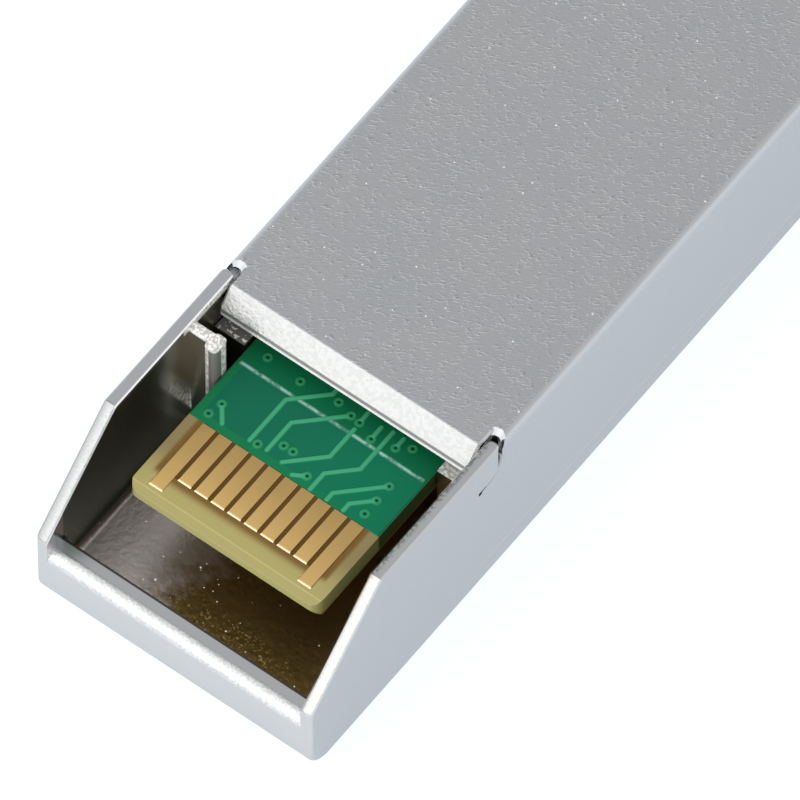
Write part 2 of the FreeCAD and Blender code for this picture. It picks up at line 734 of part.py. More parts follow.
def make_collar():
    """Stamped spring collar: a thin band round the neck with bowed fingers towards the body."""
    neck_half = half_width - d.collar_groove
    in_x = neck_half + d.collar_fit
    out_x = in_x + d.collar_sheet
    in_low = d.collar_groove - d.collar_fit
    in_top = d.body_height - d.collar_groove + d.collar_fit
    band_back = d.collar_front - d.collar_band
    band = across("band_outer", out_x, band_back, d.collar_front,
                  in_low - d.collar_sheet, in_top + d.collar_sheet)
    band_hole = across("band_inner", in_x, 0, BIG, in_low, in_top)
    band_open = across("band_open", d.latch_window / 2, 0, BIG, d.port_axis_z, BIG)
    ring = cut("band_ring", band, band_hole, band_open)

    reach = band_back - d.collar_back

    def bowed(rise):
        """Outline of one finger seen from the side: along y, and outwards from its seat."""
        overlap = d.collar_sheet
        return [(band_back + overlap, 0), (band_back, 0), (band_back - reach * 0.35, rise),
                (band_back - reach * 0.65, rise), (d.collar_back, 0), (d.collar_back, d.collar_sheet),
                (band_back - reach * 0.65, rise + d.collar_sheet),
                (band_back - reach * 0.35, rise + d.collar_sheet), (band_back, d.collar_sheet),
                (band_back + overlap, d.collar_sheet)]

    fingers = []
    for i in range(COLLAR_FINGERS_SIDE):
        z = d.body_height / 2 + d.collar_pitch * (i - (COLLAR_FINGERS_SIDE - 1) / 2)
        right = extruded("collar_right_%d" % i, "z",
                         [(in_x + v, u) for u, v in bowed(d.collar_bow)], d.collar_finger)
        move(right, 0, 0, z)
        fingers.append(right)
        fingers.append(mirror("collar_left_%d" % i, right))
    for i in range(COLLAR_FINGERS_WIDE):
        x = d.collar_pitch * (i - (COLLAR_FINGERS_WIDE - 1) / 2)
        below = extruded("collar_below_%d" % i, "x",
                         [(u, in_low - v) for u, v in bowed(d.collar_bow_below)], d.collar_finger)
        move(below, x, 0, 0)
        fingers.append(below)
        if abs(x.value) - d.collar_finger.value / 2 < d.latch_window.value / 2:
            continue
        above = extruded("collar_above_%d" % i, "x",
                         [(u, in_top + v) for u, v in bowed(d.collar_bow)], d.collar_finger)
        move(above, x, 0, 0)
        fingers.append(above)
    finish(fuse("spring_collar", ring, *fingers), "spring_collar")


def make_latch():
    """Rocker with the latch boss, its pivot pin, and the leaf spring that holds the boss up."""
    boss_back = d.latch_shoulder - d.boss_length
    lever = extruded("rocker_lever", "x", [
        (d.rocker_back, d.rocker_bottom), (d.rocker_back, d.rocker_top), (boss_back, d.rocker_top),
        (d.latch_shoulder - d.boss_flat, boss_top), (d.latch_shoulder, boss_top),
        (d.latch_shoulder, d.rocker_top), (d.rocker_front, d.rocker_top),
        (d.rocker_front, d.rocker_bottom)], d.rocker_width)
    half = d.rocker_width / 2
    eye = cylinder("rocker_eye", "x", -half, d.rocker_pivot_y, d.rocker_pivot_z, d.eye_radius, d.rocker_width)
    hole = cylinder("rocker_hole", "x", -BIG, d.rocker_pivot_y, d.rocker_pivot_z,
                    d.pin_radius + d.running_fit, 2 * BIG)
    finish(cut("latch_rocker", fuse("rocker_solid", lever, eye), hole), "latch_rocker")

    pin = cylinder("latch_pin_bar", "x", -d.pin_half_length, d.rocker_pivot_y, d.rocker_pivot_z,
                   d.pin_radius, d.pin_half_length * 2)
    finish(group("latch_pin", [pin]), "latch_pin")

    foot_end = d.socket_back - d.seat_gap
    foot_back = foot_end - d.spring_foot
    tip = foot_back - d.spring_reach
    touch = d.rocker_bottom - d.spring_fit
    spring = extruded("latch_spring", "x", [
        (foot_end, d.channel_well), (foot_end, d.channel_well + d.spring_sheet),
        (foot_back, d.channel_well + d.spring_sheet), (tip, touch),
        (tip - d.spring_sheet, touch - d.spring_sheet), (foot_back, d.channel_well)], d.spring_width)
    finish(spring, "latch_spring")


def make_bail():
    """Wire bail on two stubs in the nose: bent at the bar, swaged to eyes at the stubs, with a sleeve."""
    pivot = (d.bail_pivot_y.value, d.bail_pivot_z.value)
    bar = (d.bail_bar_y.value, d.bail_bar_z.value)
    arm = d.bail_arm_x.value
    route = [(-arm, pivot), (-arm, bar), (arm, bar), (arm, pivot)]
    points = [FreeCAD.Vector(x, y, z) for x, (y, z) in route]
    radius = d.bail_wire_radius.value
    bend = d.bail_bar_bend.value
    runs_of_wire = []
    start = points[0]
    for before, corner, after in zip(points, points[1:], points[2:]):
        towards = (before - corner).normalize()
        away = (after - corner).normalize()
        between = towards.getAngle(away)
        trim = bend / math.tan(between / 2)
        first = corner + towards * trim
        centre = corner + (towards + away).normalize() * (bend / math.sin(between / 2))
        runs_of_wire.append(Part.makeCylinder(radius, first.distanceToPoint(start), start, -towards))
        section = Part.Face(Part.Wire(Part.makeCircle(radius, first, -towards)))
        turn_axis = (first - centre).cross(-towards)
        runs_of_wire.append(section.revolve(centre, turn_axis, 180 - math.degrees(between)))
        start = corner + away * trim
    last_run = points[-1] - start
    runs_of_wire.append(Part.makeCylinder(radius, last_run.Length, start, last_run))
    wire = doc.addObject("Part::Feature", "bail_wire")
    wire.Shape = runs_of_wire[0].fuse(runs_of_wire[1:]).removeSplitter()
    stub = cylinder("bail_stub", "x", d.bail_stub_end, d.bail_pivot_y, d.bail_pivot_z,
                    d.bail_wire_radius, d.bail_arm_x - d.bail_stub_end)
    eye = cylinder("bail_eye", "x", d.bail_arm_x - d.bail_wire_radius, d.bail_pivot_y, d.bail_pivot_z,
                   d.bail_eye_radius, d.bail_wire_radius * 2)
    right_end = fuse("bail_right_end", stub, eye)
    finish(fuse("bail", wire, right_end, mirror("bail_left_end", right_end)), "bail")

    half = d.bail_sleeve_length / 2
    sleeve = cut("bail_sleeve",
                 cylinder("sleeve_outer", "x", -half, d.bail_bar_y, d.bail_bar_z,
                          d.bail_sleeve_radius, d.bail_sleeve_length),
                 cylinder("sleeve_inner", "x", -BIG, d.bail_bar_y, d.bail_bar_z,
                          d.bail_wire_radius + d.collar_fit, 2 * BIG))
    finish(sleeve, "bail_sleeve")


make_base_casting()
make_cover()
make_board()
make_fingers("contact_fingers_upper", board_top, board_top + d.finger_thickness)
make_fingers("contact_fingers_lower", d.board_bottom - d.finger_thickness, d.board_bottom)
make_chips()
make_optics()
make_clamp()
make_receptacle()
make_collar()
make_latch()
make_bail()
doc.recompute()

faults = [o.Name for o in doc.Objects if "Invalid" in o.State or "Error" in o.State]
for piece in pieces:
    if piece.Shape.isNull() or not piece.Shape.isValid() or not piece.Shape.Solids:
        faults.append(piece.Label)
if faults:
    raise RuntimeError("pieces that failed: " + ", ".join(faults))

os.makedirs("parts", exist_ok=True)
for piece in pieces:
    piece.Shape.exportStep("parts/%s.step" % piece.Label)
    extent = piece.Shape.BoundBox
    print("%-22s %2d solids %9.2f mm3  x %6.2f %6.2f  y %6.2f %6.2f  z %6.2f %6.2f" % (
        piece.Label, len(piece.Shape.Solids), piece.Shape.Volume, extent.XMin, extent.XMax,
        extent.YMin, extent.YMax, extent.ZMin, extent.ZMax))
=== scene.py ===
import math
from functools import reduce

import bpy
import numpy as np
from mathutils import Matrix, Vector


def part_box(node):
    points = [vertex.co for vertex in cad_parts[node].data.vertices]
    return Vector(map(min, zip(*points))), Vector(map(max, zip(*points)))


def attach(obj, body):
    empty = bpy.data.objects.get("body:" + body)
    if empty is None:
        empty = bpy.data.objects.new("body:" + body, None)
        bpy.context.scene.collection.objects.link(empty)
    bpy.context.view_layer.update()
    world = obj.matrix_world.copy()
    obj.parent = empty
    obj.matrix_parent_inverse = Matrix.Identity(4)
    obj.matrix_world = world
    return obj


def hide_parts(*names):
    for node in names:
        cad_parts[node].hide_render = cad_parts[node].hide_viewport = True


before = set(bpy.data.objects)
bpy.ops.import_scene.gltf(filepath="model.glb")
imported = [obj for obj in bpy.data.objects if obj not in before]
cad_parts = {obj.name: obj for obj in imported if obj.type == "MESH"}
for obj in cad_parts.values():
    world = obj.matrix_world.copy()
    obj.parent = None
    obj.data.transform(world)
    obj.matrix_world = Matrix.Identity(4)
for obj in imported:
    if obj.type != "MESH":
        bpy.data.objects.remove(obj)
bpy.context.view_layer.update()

# Base casting: the tray with the open bucket round the board's edge, which carries every other piece.
# It is a zinc die casting under satin nickel, smooth outside and grainy on the slopes, on the end
# wall's crest and on the bucket's floor, where the plating shows the cast skin.
MM = 0.001
# The width over which a tone fades at a face's edge, and the unit of the other fades and fine grains.
BLUR = 0.1 * MM
REAR_FACE_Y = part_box("base_casting")[0].y
BUCKET_FLOOR_Z = 1.4 * MM
BUCKET_HALF = 6.15 * MM
BUCKET_REAR_Y = REAR_FACE_Y + 1.06 * MM
BUCKET_END_Y = -15.0 * MM
CREST_Z = 3.21 * MM
CREST_DEPTH = 0.6 * MM
SLOPE_FOOT_Y = -28.25 * MM
SLOPE_FOOT_Z = 4.42 * MM
SLOPE_RISE = 4.08 / 4.1
RIB_TOP_Z = 8.25 * MM
RIB_FRONT_Y = -19.78 * MM
NICKEL_DARK = (0.48, 0.485, 0.495, 1.0)
NICKEL_LIGHT = (0.5, 0.505, 0.515, 1.0)
NICKEL_PATCH = 1.2 * MM
NICKEL_SATIN = 0.25
FLOOR_SATIN = 0.36
EDGE_TINT = (0.81, 0.81, 0.81, 1.0)


def new_finish(name, **constants):
    """A node material for one finish. The constants set the shader's own sockets by name."""
    material = bpy.data.materials.new(name)
    material.use_nodes = True
    shader = material.node_tree.nodes["Principled BSDF"]
    for socket, value in constants.items():
        shader.inputs[socket.replace("_", " ")].default_value = value
    return material


def add(tree, kind, inputs=None, **settings):
    """Add one node: settings are its properties, inputs its sockets, a value or another node's output."""
    node = tree.nodes.new("ShaderNode" + kind)
    for key, value in settings.items():
        setattr(node, key, value)
    for key, value in (inputs or {}).items():
        if isinstance(value, bpy.types.NodeSocket):
            tree.links.new(value, node.inputs[key])
        else:
            node.inputs[key].default_value = value
    return node


def drive(material, socket, output):
    """Join a pattern's output to one socket of the finish's shader."""
    tree = material.node_tree
    tree.links.new(output, tree.nodes["Principled BSDF"].inputs[socket])


def place_of(material):
    """The surface point in the object's own metres."""
    return add(material.node_tree, "TexCoord").outputs["Object"]


def split(place):
    """A point's or a direction's three coordinates."""
    parts = add(place.id_data, "SeparateXYZ", {"Vector": place}).outputs
    return parts["X"], parts["Y"], parts["Z"]


def ramp(value, low, high, start=0.0, end=1.0):
    """A number that goes smoothly from start to end as a pattern goes from low to high."""
    inputs = {"Value": value, "From Min": low, "From Max": high, "To Min": start, "To Max": end}
    return add(value.id_data, "MapRange", inputs, interpolation_type="SMOOTHSTEP").outputs["Result"]


def calc(operation, first, second=0.0):
    """One arithmetic step on a pattern, with a number or another pattern."""
    pattern = first if isinstance(first, bpy.types.NodeSocket) else second
    return add(pattern.id_data, "Math", {0: first, 1: second}, operation=operation).outputs["Value"]


def both(*masks):
    """1 where every mask is 1: the product of patterns and numbers."""
    return reduce(lambda first, second: calc("MULTIPLY", first, second), masks)


def either(*masks):
    """1 where any mask is 1: the largest of the patterns."""
    return reduce(lambda first, second: calc("MAXIMUM", first, second), masks)


def near(value, level, inner, outer):
    """1 within the inner distance of a level, and 0 beyond the outer one."""
    return ramp(calc("ABSOLUTE", calc("SUBTRACT", value, level)), outer, inner)


def noise(place, size, detail=2.0):
    """Soft noise whose patches are about the given size across."""
    inputs = {"Vector": place, "Scale": 1 / size, "Detail": detail}
    return add(place.id_data, "TexNoise", inputs).outputs[0]


def specks(place, spacing, radius, share):
    """Dots of one radius in a share of the cells of an uneven mesh, 1 on a dot and 0 beside it."""
    cells = add(place.id_data, "TexVoronoi", {"Vector": place, "Scale": 1 / spacing}, feature="F1").outputs
    on_dot = ramp(cells["Distance"], radius / spacing, 0.5 * radius / spacing)
    chance = add(place.id_data, "SeparateColor", {"Color": cells["Color"]}).outputs["Red"]
    return both(on_dot, calc("LESS_THAN", chance, share))


def mixed(factor, first, second):
    """A colour between two, each a colour or a pattern, by a factor from 0 to 1."""
    return add(factor.id_data, "Mix", {"Factor": factor, 6: first, 7: second}, data_type="RGBA").outputs[2]


def layered(tone, *layers):
    """A colour with others laid over it in turn, each by its own mask."""
    for mask, colour in layers:
        tone = mixed(mask, tone, colour)
    return tone


def bumped(height, depth, under=None):
    """A bump of the given depth in metres from a height pattern, over another bump if there is one."""
    inputs = {"Height": height, "Distance": depth}
    if under is not None:
        inputs["Normal"] = under
    return add(height.id_data, "Bump", inputs).outputs["Normal"]


# The bucket's inner walls carry a painted reflection of the shaded board, painted lighter by the rib, with
# one painted highlight streak on the left.
WALL_SHADED = (0.218, 0.274, 0.225, 1.0)
WALL_LIT_BY_RIB = (0.48, 0.47, 0.39, 1.0)
BY_RIB_Z = (2.8 * MM, 5.6 * MM)
STREAK_HIGHLIGHT = (0.8, 0.79, 0.73, 1.0)
STREAK_SLOPE = 2.1
STREAK_FOOT_Y = -19.4 * MM
STREAK_FOOT_Z = 2.35 * MM
STREAK_Y = (-21.8 * MM, -19.8 * MM)
STREAK_GRAIN = 0.2 * MM


def painted_wall_reflection(y, z):
    """The inner walls' painted reflection of the shaded board, painted lighter forwards and upwards to the
    rib.
    """
    by_rib = both(ramp(y, RIB_FRONT_Y - 15.5 * BLUR, RIB_FRONT_Y - 9.5 * BLUR), ramp(z, *BY_RIB_Z))
    return mixed(by_rib, WALL_SHADED, WALL_LIT_BY_RIB)


def painted_wall_highlight(place, aside, y, z):
    """A painted highlight band above a slanted line on the wall: sharp below, fading above, stronger
    towards its foot.
    """
    level = STREAK_FOOT_Z + STREAK_SLOPE * STREAK_FOOT_Y
    climb = calc("ADD", z, both(y, STREAK_SLOPE))
    band = both(ramp(climb, level - 4 * BLUR, level), ramp(climb, level + 19 * BLUR, level + BLUR))
    on_wall = ramp(aside, BUCKET_HALF - BLUR, BUCKET_HALF - 0.5 * BLUR)
    uneven = ramp(noise(place, STREAK_GRAIN, 3.0), 0.35, 0.6, 0.5, 1.0)
    return both(band, on_wall, ramp(y, *STREAK_Y), uneven)


# The floor carries painted reflection and shade: grey to the left and golden brown to the right, with
# flecks along the end wall and glints.
FLOOR_CORNER = (0.42, 0.385, 0.355, 1.0)
FLOOR_LEFT = (0.56, 0.47, 0.46, 1.0)
FLOOR_MIDDLE = (0.7, 0.63, 0.62, 1.0)
CORNER_X = (-6.1 * MM, -5.45 * MM)
LEFT_X = (-5.3 * MM, -3.4 * MM)
FLOOR_SHADE_BY_WALL = (0.22, 0.155, 0.047, 1.0)
FLOOR_SHADE_INWARD = (0.32, 0.23, 0.085, 1.0)
SHADE_EDGE_X = (-2.85 * MM, -0.85 * MM)
SHADE_EDGE_SLANT = 0.3
SHADE_EDGE_LEVEL_Y = -25.6 * MM
SHADE_EDGE_PATCH = 0.7 * MM
SHADE_EDGE_WANDER = 0.6 * MM
FLECK_GOLD = (0.46, 0.34, 0.13, 1.0)
FLECK_SIZE = 0.11 * MM
FLECK_DRIFT = 0.9 * MM
FLECK_X = (-3.4 * MM, -1.4 * MM)
GLINT_WHITE = (0.95, 0.94, 0.9, 1.0)
GLINT_GLOW = (0.9, 0.82, 0.66, 1.0)
GLINT_STRENGTH = 0.35
GLINT_Y = (-23.8 * MM, -24.2 * MM)
# Spacing, radius and share of the large and the small glints.
LARGE_GLINTS = (0.36 * MM, 0.06 * MM, 0.09)
SMALL_GLINTS = (0.19 * MM, 0.03 * MM, 0.1)


def painted_floor_shade(place, x, y):
    """The floor's painted reflection and shade: grey, darker into the left corner and lighter in the
    middle, then golden-brown shade past a slanted line that wanders with the noise, lighter away from the
    end wall.
    """
    grey = mixed(ramp(x, *CORNER_X), FLOOR_CORNER, mixed(ramp(x, *LEFT_X), FLOOR_LEFT, FLOOR_MIDDLE))
    inward = ramp(y, BUCKET_REAR_Y + 11 * BLUR, BUCKET_REAR_Y + 29 * BLUR)
    golden = mixed(inward, FLOOR_SHADE_BY_WALL, FLOOR_SHADE_INWARD)
    slanted = calc("SUBTRACT", x, both(calc("SUBTRACT", y, SHADE_EDGE_LEVEL_Y), SHADE_EDGE_SLANT))
    wander = ramp(noise(place, SHADE_EDGE_PATCH, 3.0), 0.3, 0.7, -SHADE_EDGE_WANDER, SHADE_EDGE_WANDER)
    return mixed(ramp(calc("ADD", slanted, wander), *SHADE_EDGE_X), grey, golden)


def floor_flecks(place, x, y):
    """The peaks of a fine noise, kept where a coarser noise is high and the end wall is close."""
    by_wall = ramp(y, BUCKET_REAR_Y + 24 * BLUR, BUCKET_REAR_Y + 12 * BLUR)
    peaks = ramp(noise(place, FLECK_SIZE), 0.58, 0.66)
    return both(peaks, ramp(noise(place, FLECK_DRIFT, 1.0), 0.34, 0.6), by_wall, ramp(x, *FLECK_X))


def floor_glints(place, y):
    """Two sizes of bright specks on the open part of the floor, in front of the board."""
    glints = either(specks(place, *LARGE_GLINTS), specks(place, *SMALL_GLINTS))
    return both(glints, ramp(y, *GLINT_Y))


# The rib and the pillars behind it carry painted light: painted highlights on the rib's crown and edges and
# on the right pillar's top, painted shade between the rib's edges, and pitted painted shade on the left
# pillar.
RIB_MIDDLE_X = 4.98 * MM
RIB_MIDDLE_Y = -19.36 * MM
RIB_OUTER_X = (5.0 * MM, 5.04 * MM)
RIB_INNER_X = (4.74 * MM, 4.72 * MM)
PILLAR_FRONT_Y = -17.95 * MM
PILLAR_TOP_Z = 6.45 * MM
PITTED_X = (1.0 * MM, -1.0 * MM)
MOTTLE_GRAIN = 0.14 * MM
PIT_GRAIN = 0.16 * MM
RIB_HIGHLIGHT = (0.84, 0.83, 0.79, 1.0)
RIB_HIGHLIGHT_DIM = (0.47, 0.455, 0.42, 1.0)
RIB_SHADE = (0.17, 0.162, 0.155, 1.0)


def painted_rib_light(place, x, aside, y, z):
    """The mask and colour of the painted light: highlights on the rib's crown and edges and on the right
    pillar's top, shade between the rib's edges, pitted shade on the left pillar.
    """
    crown = both(ramp(z, RIB_TOP_Z - 2.5 * BLUR, RIB_TOP_Z - BLUR),
                 ramp(y, RIB_FRONT_Y - BLUR, RIB_FRONT_Y - 0.5 * BLUR))
    head = both(near(aside, RIB_MIDDLE_X, 3.4 * BLUR, 3.8 * BLUR),
                near(y, RIB_MIDDLE_Y, 4.6 * BLUR, 5 * BLUR))
    outer_edge = both(ramp(aside, *RIB_OUTER_X), ramp(y, RIB_MIDDLE_Y - BLUR, RIB_MIDDLE_Y - 1.5 * BLUR))
    inner_edge = both(ramp(aside, *RIB_INNER_X), near(y, RIB_MIDDLE_Y + BLUR, 1.3 * BLUR, 1.6 * BLUR))
    pillar = both(near(z, PILLAR_TOP_Z, 0.2 * BLUR, 0.5 * BLUR),
                  ramp(y, PILLAR_FRONT_Y - 0.5 * BLUR, PILLAR_FRONT_Y - 0.2 * BLUR))
    pale = mixed(ramp(noise(place, MOTTLE_GRAIN, 3.0), 0.4, 0.58), RIB_HIGHLIGHT, RIB_HIGHLIGHT_DIM)
    pitted = mixed(ramp(noise(place, PIT_GRAIN), 0.58, 0.64), RIB_SHADE, RIB_HIGHLIGHT)
    rib_light_tone = mixed(both(pillar, ramp(x, *PITTED_X)), pale, pitted)
    rib_edge_tone = mixed(either(outer_edge, inner_edge, crown), RIB_SHADE, rib_light_tone)
    return either(crown, head, pillar), mixed(head, rib_light_tone, rib_edge_tone)


# The slopes and the crest are grainy and painted white as a highlight; each slope is painted lit on one
# side and shaded on the other. The side walls' rims carry mottled painted shade on the right, and a painted
# highlight line on the left.
GRAIN_GREY = (0.54, 0.54, 0.54, 1.0)
GRAIN_HIGHLIGHT = (0.66, 0.66, 0.65, 1.0)
SLOPE_SHADED = (0.27, 0.27, 0.265, 1.0)
SLOPE_LEFT = (0.46, 0.46, 0.455, 1.0)
SLOPE_RIGHT = (0.56, 0.55, 0.52, 1.0)
CREST_SHADOW = (0.07, 0.065, 0.06, 1.0)
RIM_SHADE = (0.1, 0.097, 0.09, 1.0)
RIM_HIGHLIGHT = (0.86, 0.86, 0.85, 1.0)


def slope_tone(aside, on_left, on_right, fine):
    """The slopes' colour: each is lit on its right side and shaded on its left."""
    lit = either(both(on_left, ramp(aside, BUCKET_HALF + 6 * BLUR, BUCKET_HALF + 1.5 * BLUR)),
                 both(on_right, ramp(aside, BUCKET_HALF, BUCKET_HALF + 2.2 * BLUR)))
    lit = both(lit, ramp(fine, 0.25, 0.6, 0.7, 1.0))
    return mixed(lit, SLOPE_SHADED, mixed(on_right, SLOPE_LEFT, SLOPE_RIGHT))


def painted_rim_light(place, aside, z, on_left, on_right):
    """Mottled painted shade along the right rim's inner half, and a painted highlight line along the left
    rim's inner edge.
    """
    on_rim = ramp(z, RIB_TOP_Z + BLUR, RIB_TOP_Z + 2 * BLUR)
    shade_band = both(on_rim, ramp(aside, BUCKET_HALF + 3.2 * BLUR, BUCKET_HALF + BLUR),
                ramp(noise(place, MOTTLE_GRAIN, 3.0), 0.4, 0.6, 0.15, 0.65))
    highlight_line = both(on_rim, ramp(aside, BUCKET_HALF + 0.7 * BLUR, BUCKET_HALF + 0.4 * BLUR))
    return (both(shade_band, on_right), RIM_SHADE), (both(highlight_line, on_left), RIM_HIGHLIGHT)


def cast_nickel():
    """Satin nickel on the casting. A mask for each face, from its distance to the face's plane, lays that
    face's tone over the plain nickel; the walls', floor's, crest's, slopes' and rims' tones are painted
    reflection, light and shade. The rib's painted light, flecks and glints are laid on last."""
    material = new_finish("cast_nickel", Specular_Tint=EDGE_TINT, Emission_Color=GLINT_GLOW)
    place = place_of(material)
    x, y, z = split(place)
    aside = calc("ABSOLUTE", x)
    on_left = calc("LESS_THAN", x, 0.0)
    on_right = calc("SUBTRACT", 1.0, on_left)
    within = ramp(aside, BUCKET_HALF + 0.3 * BLUR, BUCKET_HALF)
    inside = both(within, ramp(y, BUCKET_REAR_Y - 0.3 * BLUR, BUCKET_REAR_Y),
                  ramp(y, BUCKET_END_Y + BLUR, BUCKET_END_Y),
                  ramp(z, RIB_TOP_Z - 0.3 * BLUR, RIB_TOP_Z - 0.8 * BLUR),
                  ramp(z, BUCKET_FLOOR_Z - 2 * BLUR, BUCKET_FLOOR_Z - BLUR))
    on_floor = both(inside, ramp(z, BUCKET_FLOOR_Z + 3 * BLUR, BUCKET_FLOOR_Z + BLUR))
    on_crest = both(within, ramp(y, REAR_FACE_Y + CREST_DEPTH, REAR_FACE_Y + 0.8 * CREST_DEPTH),
                    ramp(z, CREST_Z - 5.5 * BLUR, CREST_Z - 2.5 * BLUR))
    # A painted shadow along the crest's inner edge, above the floor.
    crest_shadow = both(within, near(y, BUCKET_REAR_Y, 0.8 * BLUR, 1.1 * BLUR),
                      ramp(z, CREST_Z - 3 * BLUR, CREST_Z - 2 * BLUR),
                      ramp(z, CREST_Z + 1.5 * BLUR, CREST_Z + BLUR))
    climb = calc("SUBTRACT", z, both(y, SLOPE_RISE))
    on_slope = near(climb, SLOPE_FOOT_Z - SLOPE_RISE * SLOPE_FOOT_Y, 0.2 * BLUR, 0.6 * BLUR)
    grainy = either(on_crest, on_slope)
    fine = noise(place, BLUR)
    # A painted highlight streak on the left inner wall, made matt so that it shows pale.
    highlight_streak = both(painted_wall_highlight(place, aside, y, z), on_left, inside)
    fleck = both(floor_flecks(place, x, y), on_floor)
    glint = both(floor_glints(place, y), on_floor)
    # Painted highlights and shade on the rib and pillars, made matt so that they show.
    shown, rib_light_tone = painted_rib_light(place, x, aside, y, z)
    rib_painted = both(within, shown)
    tone = layered(mixed(noise(place, NICKEL_PATCH), NICKEL_DARK, NICKEL_LIGHT),
                   (inside, painted_wall_reflection(y, z)),
                   (on_floor, painted_floor_shade(place, x, y)),
                   # The crest and the slopes are painted lighter than the nickel as a painted highlight,
                   # with grain.
                   (grainy, mixed(ramp(fine, 0.4, 0.6), GRAIN_GREY, GRAIN_HIGHLIGHT)),
                   (on_slope, slope_tone(aside, on_left, on_right, fine)),
                   (crest_shadow, CREST_SHADOW),
                   *painted_rim_light(place, aside, z, on_left, on_right),
                   (highlight_streak, STREAK_HIGHLIGHT), (fleck, FLECK_GOLD), (rib_painted, rib_light_tone), (glint, GLINT_WHITE))
    drive(material, "Base Color", tone)
    drive(material, "Emission Strength", both(glint, GLINT_STRENGTH))
    drive(material, "Metallic", calc("SUBTRACT", 1.0, either(glint, fleck, rib_painted, both(highlight_streak, 0.9))))
    drive(material, "Roughness", ramp(on_floor, 0.0, 1.0, NICKEL_SATIN, FLOOR_SATIN))
    uneven = bumped(both(noise(place, 3 * BLUR, 3.0), on_floor), 0.2 * BLUR)
    drive(material, "Normal", bumped(both(noise(place, 1.2 * BLUR), grainy), 0.1 * BLUR, uneven))
    return material


def dress(node, material):
    """Give one of the model's own solids its finish."""
    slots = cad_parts[node].data.materials
    slots.clear()
    slots.append(material)


dress("base_casting", cast_nickel())

# Circuit board: glass-fibre laminate, routed to shape and bevelled along the contact edge.
# The bare laminate shows as olive round the contacts; behind them it lies under green solder mask.
# It rests on the casting's pillars, with its tongue in the open bucket.
BOARD_LOW, BOARD_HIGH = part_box("circuit_board")
PAD_LOW, PAD_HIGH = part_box("contact_fingers_upper")
BOARD_TOP = BOARD_HIGH.z
TONGUE_HALF = 4.6 * MM
PADS_HALF = PAD_HIGH.x
PAD_BACK_Y = PAD_HIGH.y
LONG_FRONT_Y = PAD_LOW.y
SHORT_FRONT_Y = LONG_FRONT_Y + 0.78 * MM
STRIP_WIDTH = 0.3 * MM
CLOTH_PATCH = 0.9 * MM
CLOTH_GRAIN = 0.2 * MM
OLIVE_LIGHT = (0.385, 0.335, 0.13, 1.0)
OLIVE_DARK = (0.35, 0.305, 0.11, 1.0)
BEVEL_OLIVE = (0.29, 0.256, 0.097, 1.0)
FRONT_OLIVE = (0.315, 0.285, 0.114, 1.0)
MARGIN_TAN = (0.25, 0.195, 0.085, 1.0)
SHADED_BROWN = (0.17, 0.09, 0.02, 1.0)
GAP_SHADE = (0.09, 0.045, 0.008, 1.0)
UNDER_BROWN = (0.36, 0.18, 0.015, 1.0)
MASK_GREEN = (0.01, 0.16, 0.075, 1.0)
EDGE_OLIVE = (0.05, 0.075, 0.025, 1.0)


def laminate():
    """Resin over glass cloth: olive in front, tan beside the contacts, brown strips beside the outer ones,
    painted shade in front of the contacts and in the gaps between them, darker olive painted as shade on
    the bevel and front face, green where mask covers it, brown below. Each tone lies over the last by a
    mask of its place."""
    material = new_finish("board_laminate", Roughness=0.5, Specular_IOR_Level=0.15)
    place = place_of(material)
    x, y, z = split(place)
    aside = calc("ABSOLUTE", x)
    among = ramp(aside, PADS_HALF, PADS_HALF - BLUR)
    margin = both(ramp(aside, PADS_HALF - BLUR, PADS_HALF + STRIP_WIDTH),
                  ramp(y, SHORT_FRONT_Y - 6 * BLUR, SHORT_FRONT_Y + 12 * BLUR))
    strip = both(ramp(aside, PADS_HALF + 1.15 * STRIP_WIDTH, PADS_HALF + 0.5 * STRIP_WIDTH),
                 ramp(y, SHORT_FRONT_Y - 3.5 * BLUR, SHORT_FRONT_Y + 0.5 * BLUR))
    before_pads = both(among, ramp(y, SHORT_FRONT_Y - 5.5 * BLUR, SHORT_FRONT_Y - 0.2 * BLUR))
    gaps = both(among, calc("GREATER_THAN", y, SHORT_FRONT_Y + 0.2 * BLUR))
    covered = mixed(calc("GREATER_THAN", aside, TONGUE_HALF - 0.1 * BLUR), MASK_GREEN, EDGE_OLIVE)
    tone = layered(mixed(noise(place, CLOTH_PATCH, 3.0), OLIVE_DARK, OLIVE_LIGHT),
                   (margin, MARGIN_TAN), (strip, SHADED_BROWN),
                   (before_pads, SHADED_BROWN), (gaps, GAP_SHADE),
                   # The bevel and the front face are painted darker olive, painted shade that evens their
                   # light with the top's.
                   (ramp(z, BOARD_TOP - 0.1 * BLUR, BOARD_TOP - 0.6 * BLUR), BEVEL_OLIVE),
                   (ramp(y, BOARD_LOW.y + 0.4 * BLUR, BOARD_LOW.y + 0.1 * BLUR), FRONT_OLIVE),
                   (ramp(y, PAD_BACK_Y - 0.2 * BLUR, PAD_BACK_Y + 0.2 * BLUR), covered),
                   (ramp(z, BOARD_LOW.z + BLUR, BOARD_LOW.z + 0.2 * BLUR), UNDER_BROWN))
    drive(material, "Base Color", tone)
    drive(material, "Normal", bumped(noise(place, CLOTH_GRAIN), 0.01 * BLUR))
    return material


dress("circuit_board", laminate())

